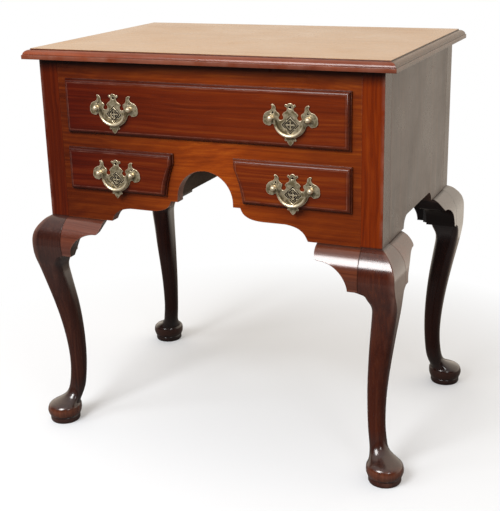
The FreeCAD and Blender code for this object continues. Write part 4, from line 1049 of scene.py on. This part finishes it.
def floor():
    """Round pale floor that fades into the white backdrop, and keeps the shadow under the legs."""
    across, ahead = circle(96)
    radius = np.array([0.0001, 0.5, FLOOR_R])[:, None]
    rings = np.stack([radius * across, radius * ahead, 0 * radius * across], axis=-1)
    mesh = bpy.data.meshes.new("floor")
    mesh.from_pydata(rings.reshape(-1, 3).tolist(), [], skin(rings, closed_ends=False))
    material, tree, shader = new_material("pale_floor")
    seen = seen_by_camera(tree)
    bounce = place_axis(tree, "Y").spread(0.2, 0.8).blend(FLOOR_BOUNCE, FLOOR_BOUNCE_BEHIND)
    feed(shader, {"Base Color": seen.blend(bounce, FLOOR_SEEN), "Roughness": 0.9})
    away = vector_maths(tree, "LENGTH", coordinates(tree), output="Value")
    white = put(tree, "Emission", {"Color": WHITE, "Strength": 1.0})
    mix = put(tree, "MixShader", {0: away.spread(FLOOR_PLAIN_R, FLOOR_FADE_R) * seen,
                                  1: Value(tree, shader.outputs[0]), 2: white})
    feed(tree.nodes["Material Output"], {0: mix})
    mesh.materials.append(material)
    in_scene("floor", mesh)


def surroundings():
    """White backdrop to look at; for light and reflections a room, pale and warm behind the piece.

    In front the room is a pale floor, dark walls, and a ceiling that grows paler overhead.
    """
    world = bpy.data.worlds.new("room")
    world.use_nodes = True
    bpy.context.scene.world = world
    tree = world.node_tree
    way = put(tree, "TexCoord", output="Generated")
    up, back = (put(tree, "SeparateXYZ", {0: way}, axis) for axis in "ZY")
    front = up.spread(-0.12, -0.02).blend(ROOM_FLOOR, ROOM_WALL)
    front = up.spread(0.35, 0.85).blend(front, ROOM_CEILING)
    room = back.spread(-0.3, 0.3).blend(front, ROOM_BEHIND)
    feed(tree.nodes["Background"], {"Color": seen_by_camera(tree).blend(room, WHITE), "Strength": 1.0})


def lamp(name, at, towards, width, depth, power, in_reflections=True):
    """Soft rectangular lamp aimed at a point."""
    data = bpy.data.lights.new(name, "AREA")
    data.shape = "RECTANGLE"
    data.size, data.size_y = width, depth
    data.energy = power
    source = in_scene(name, data)
    aim = (Vector(towards) - Vector(at)).to_track_quat("-Z", "Y")
    source.matrix_world = Matrix.Translation(at) @ aim.to_matrix().to_4x4()
    source.visible_glossy = in_reflections


# ---- putting it together
camera()
floor()
surroundings()
lamp("main", (-0.5, -2.3, 2.2), (0, -0.2, 0.45), 1.2, 1.4, 64)
lamp("left_fill", (-1.9, -1.9, 1.5), (0, 0, 0.5), 1.2, 1.2, 22, in_reflections=False)
lamp("right_fill", (1.6, -1.6, 1.2), (0, 0, 0.4), 0.5, 0.5, 4)

# dark, middle and light tone of the wood at each place; the shade tones are painted shade, the tones of the
# feet's tops painted reflection, and the top face's tones, far paler than its moulding's, partly a faded top
# and partly painted sheen
TOP_TONES = ((0.4, 0.215, 0.09), (0.49, 0.28, 0.13), (0.58, 0.345, 0.165))
MOULDING_TONES = ((0.13, 0.022, 0.007), (0.22, 0.044, 0.015), (0.34, 0.08, 0.03))
END_TONES = ((0.05, 0.022, 0.009), (0.1, 0.048, 0.02), (0.16, 0.085, 0.036))
FRONT_TONES = ((0.1, 0.011, 0.0008), (0.2, 0.03, 0.002), (0.32, 0.065, 0.004))
FRONT_LEFT_TONES = ((0.04, 0.004, 0.0006), (0.095, 0.012, 0.001), (0.19, 0.034, 0.003))
ARCH_TONES = ((0.18, 0.024, 0.0015), (0.37, 0.061, 0.004), (0.56, 0.125, 0.009))
DRAWER_TONES = ((0.08, 0.009, 0.0014), (0.17, 0.0215, 0.0025), (0.29, 0.058, 0.006))
DRAWER_LEFT_TONES = ((0.03, 0.0014, 0.0005), (0.072, 0.004, 0.0008), (0.14, 0.016, 0.003))
SIDE_TONES = ((0.03, 0.012, 0.006), (0.06, 0.026, 0.014), (0.1, 0.048, 0.026))
POST_TONES = ((0.1, 0.01, 0.0006), (0.2, 0.023, 0.001), (0.31, 0.05, 0.003))
POST_LEFT_TONES = ((0.04, 0.003, 0.0008), (0.09, 0.009, 0.001), (0.16, 0.02, 0.002))
LEG_TONES = ((0.034, 0.005, 0.002), (0.07, 0.012, 0.004), (0.12, 0.026, 0.008))
LEG_LEFT_TONES = ((0.022, 0.005, 0.003), (0.047, 0.012, 0.007), (0.085, 0.026, 0.014))
FOOT_TONES = ((0.07, 0.016, 0.006), (0.14, 0.036, 0.014), (0.22, 0.065, 0.028))
FOOT_TOP_REFLECTION_TONES = ((0.012, 0.006, 0.005), (0.022, 0.012, 0.01), (0.04, 0.022, 0.018))
BLOCK_TONES = ((0.06, 0.011, 0.004), (0.12, 0.027, 0.01), (0.21, 0.054, 0.02))
BLOCK_LEFT_TONES = ((0.07, 0.015, 0.008), (0.14, 0.036, 0.019), (0.23, 0.07, 0.038))
SHADE_TONES = ((0.006, 0.001, 0.001), (0.01, 0.002, 0.001), (0.02, 0.004, 0.002))
PINE_TONES = ((0.08, 0.045, 0.025), (0.12, 0.07, 0.0375), (0.16, 0.095, 0.05))
OAK_TONES = ((0.26, 0.16, 0.08), (0.36, 0.24, 0.13), (0.46, 0.32, 0.18))

GRAIN = grain_group()
TOP_WOOD = wood("mahogany_top", MOULDING_TONES, 0.2, figure=0.03,
                zones=[(on_end_moulding, END_TONES), (on_top_face, TOP_TONES)])
FRONT_WOOD = wood("mahogany_front_board", FRONT_TONES, 0.28, figure=0.15, gloss=0.35,
                  zones=[(round_arch, ARCH_TONES), (at_left_end, FRONT_LEFT_TONES),
                         (shadow_under_top, SHADE_TONES)])
DRAWER_WOOD = wood("mahogany_drawer_front", DRAWER_TONES, 0.2, figure=0.05, sway=0.015, gloss=0.4,
                   zones=[(at_left_end, DRAWER_LEFT_TONES), (shade_behind_piercings, SHADE_TONES)])
SIDE_WOOD = wood("mahogany_side", SIDE_TONES, 0.28, streak=1.0, upright=True, waves=0.1 * MM)
LEG_WOOD = wood("mahogany_leg", LEG_TONES, 0.2, upright=True, coat_zone=on_knee_and_foot, gloss=0.35,
                zones=[(at_left_end, LEG_LEFT_TONES), (on_foot_side, FOOT_TONES),
                       (on_foot_top, FOOT_TOP_REFLECTION_TONES), (shade_on_back_legs, SHADE_TONES),
                       (on_post, POST_TONES), (on_left_post, POST_LEFT_TONES),
                       (shadow_under_top, SHADE_TONES), (on_post_side, SIDE_TONES)])
BLOCK_WOOD = wood("mahogany_knee_block", BLOCK_TONES, 0.2, coat_zone=clear_of_wax_and_shade, gloss=0.35,
                  zones=[(at_left_end, BLOCK_LEFT_TONES), (shade_on_back_legs, SHADE_TONES)])
PINE, OAK = (wood(name, tones, 0.65, figure=0.3, grain_depth=0.1 * MM, waves=0.0)
             for name, tones in (("old_pine", PINE_TONES), ("drawer_oak", OAK_TONES)))
BRASS = aged_brass("aged_brass")
RUBBED_BRASS = aged_brass("rubbed_brass", polish=1.0)

finish(top_board(), "case", TOP_WOOD, "top_board")
finish(front_board(), "case", FRONT_WOOD, "front_board")
finish(long_front(), "long_drawer", DRAWER_WOOD, "long_drawer_front")
for side, hand in ((1, "right"), (-1, "left")):
    finish(side_panel(side, hand, 2.0 + side), "case", SIDE_WOOD, "side_panel_" + hand)
    finish(small_front(side, hand, 5.0 + side), hand + "_drawer", DRAWER_WOOD,
           hand + "_drawer_front")
    for end, where in ((-1, "front"), (1, "back")):
        node = f"leg_{where}_{hand}"
        finish(leg(node, side, end, 8.0 + side + 3 * end), "case", LEG_WOOD, node)
        for under_side, kind, shift in ((False, "", 20.0), (True, "side_", 30.0)):
            node = f"knee_block_{kind}{where}_{hand}"
            block = knee_block(node, side, end, under_side, shift + side + 3 * end)
            finish(block, "case", BLOCK_WOOD, node)

for shift, (name, spot) in enumerate(PULLS.items()):
    home = "long_drawer" if name.startswith("long") else name[len("small_"):] + "_drawer"
    finish(plate(name, spot, shift), home, BRASS, f"pull_{name}_plate")
    finish(bail(name, spot, shift), "bail_" + name, BRASS, f"pull_{name}_bail")

KEPT = {"posts": RUBBED_BRASS, **dict.fromkeys(("side_left", "side_right", "back", "bottom"), OAK)}
for name, node in frame["nodes"].items():
    if node.hide_render:
        continue
    ending = name.split("_drawer_")[-1] if "_drawer_" in name else name.split("_")[-1]
    for material_slot in node.material_slots:
        material_slot.material = KEPT.get(ending, PINE)

bpy.context.scene.view_settings.view_transform = "Standard"
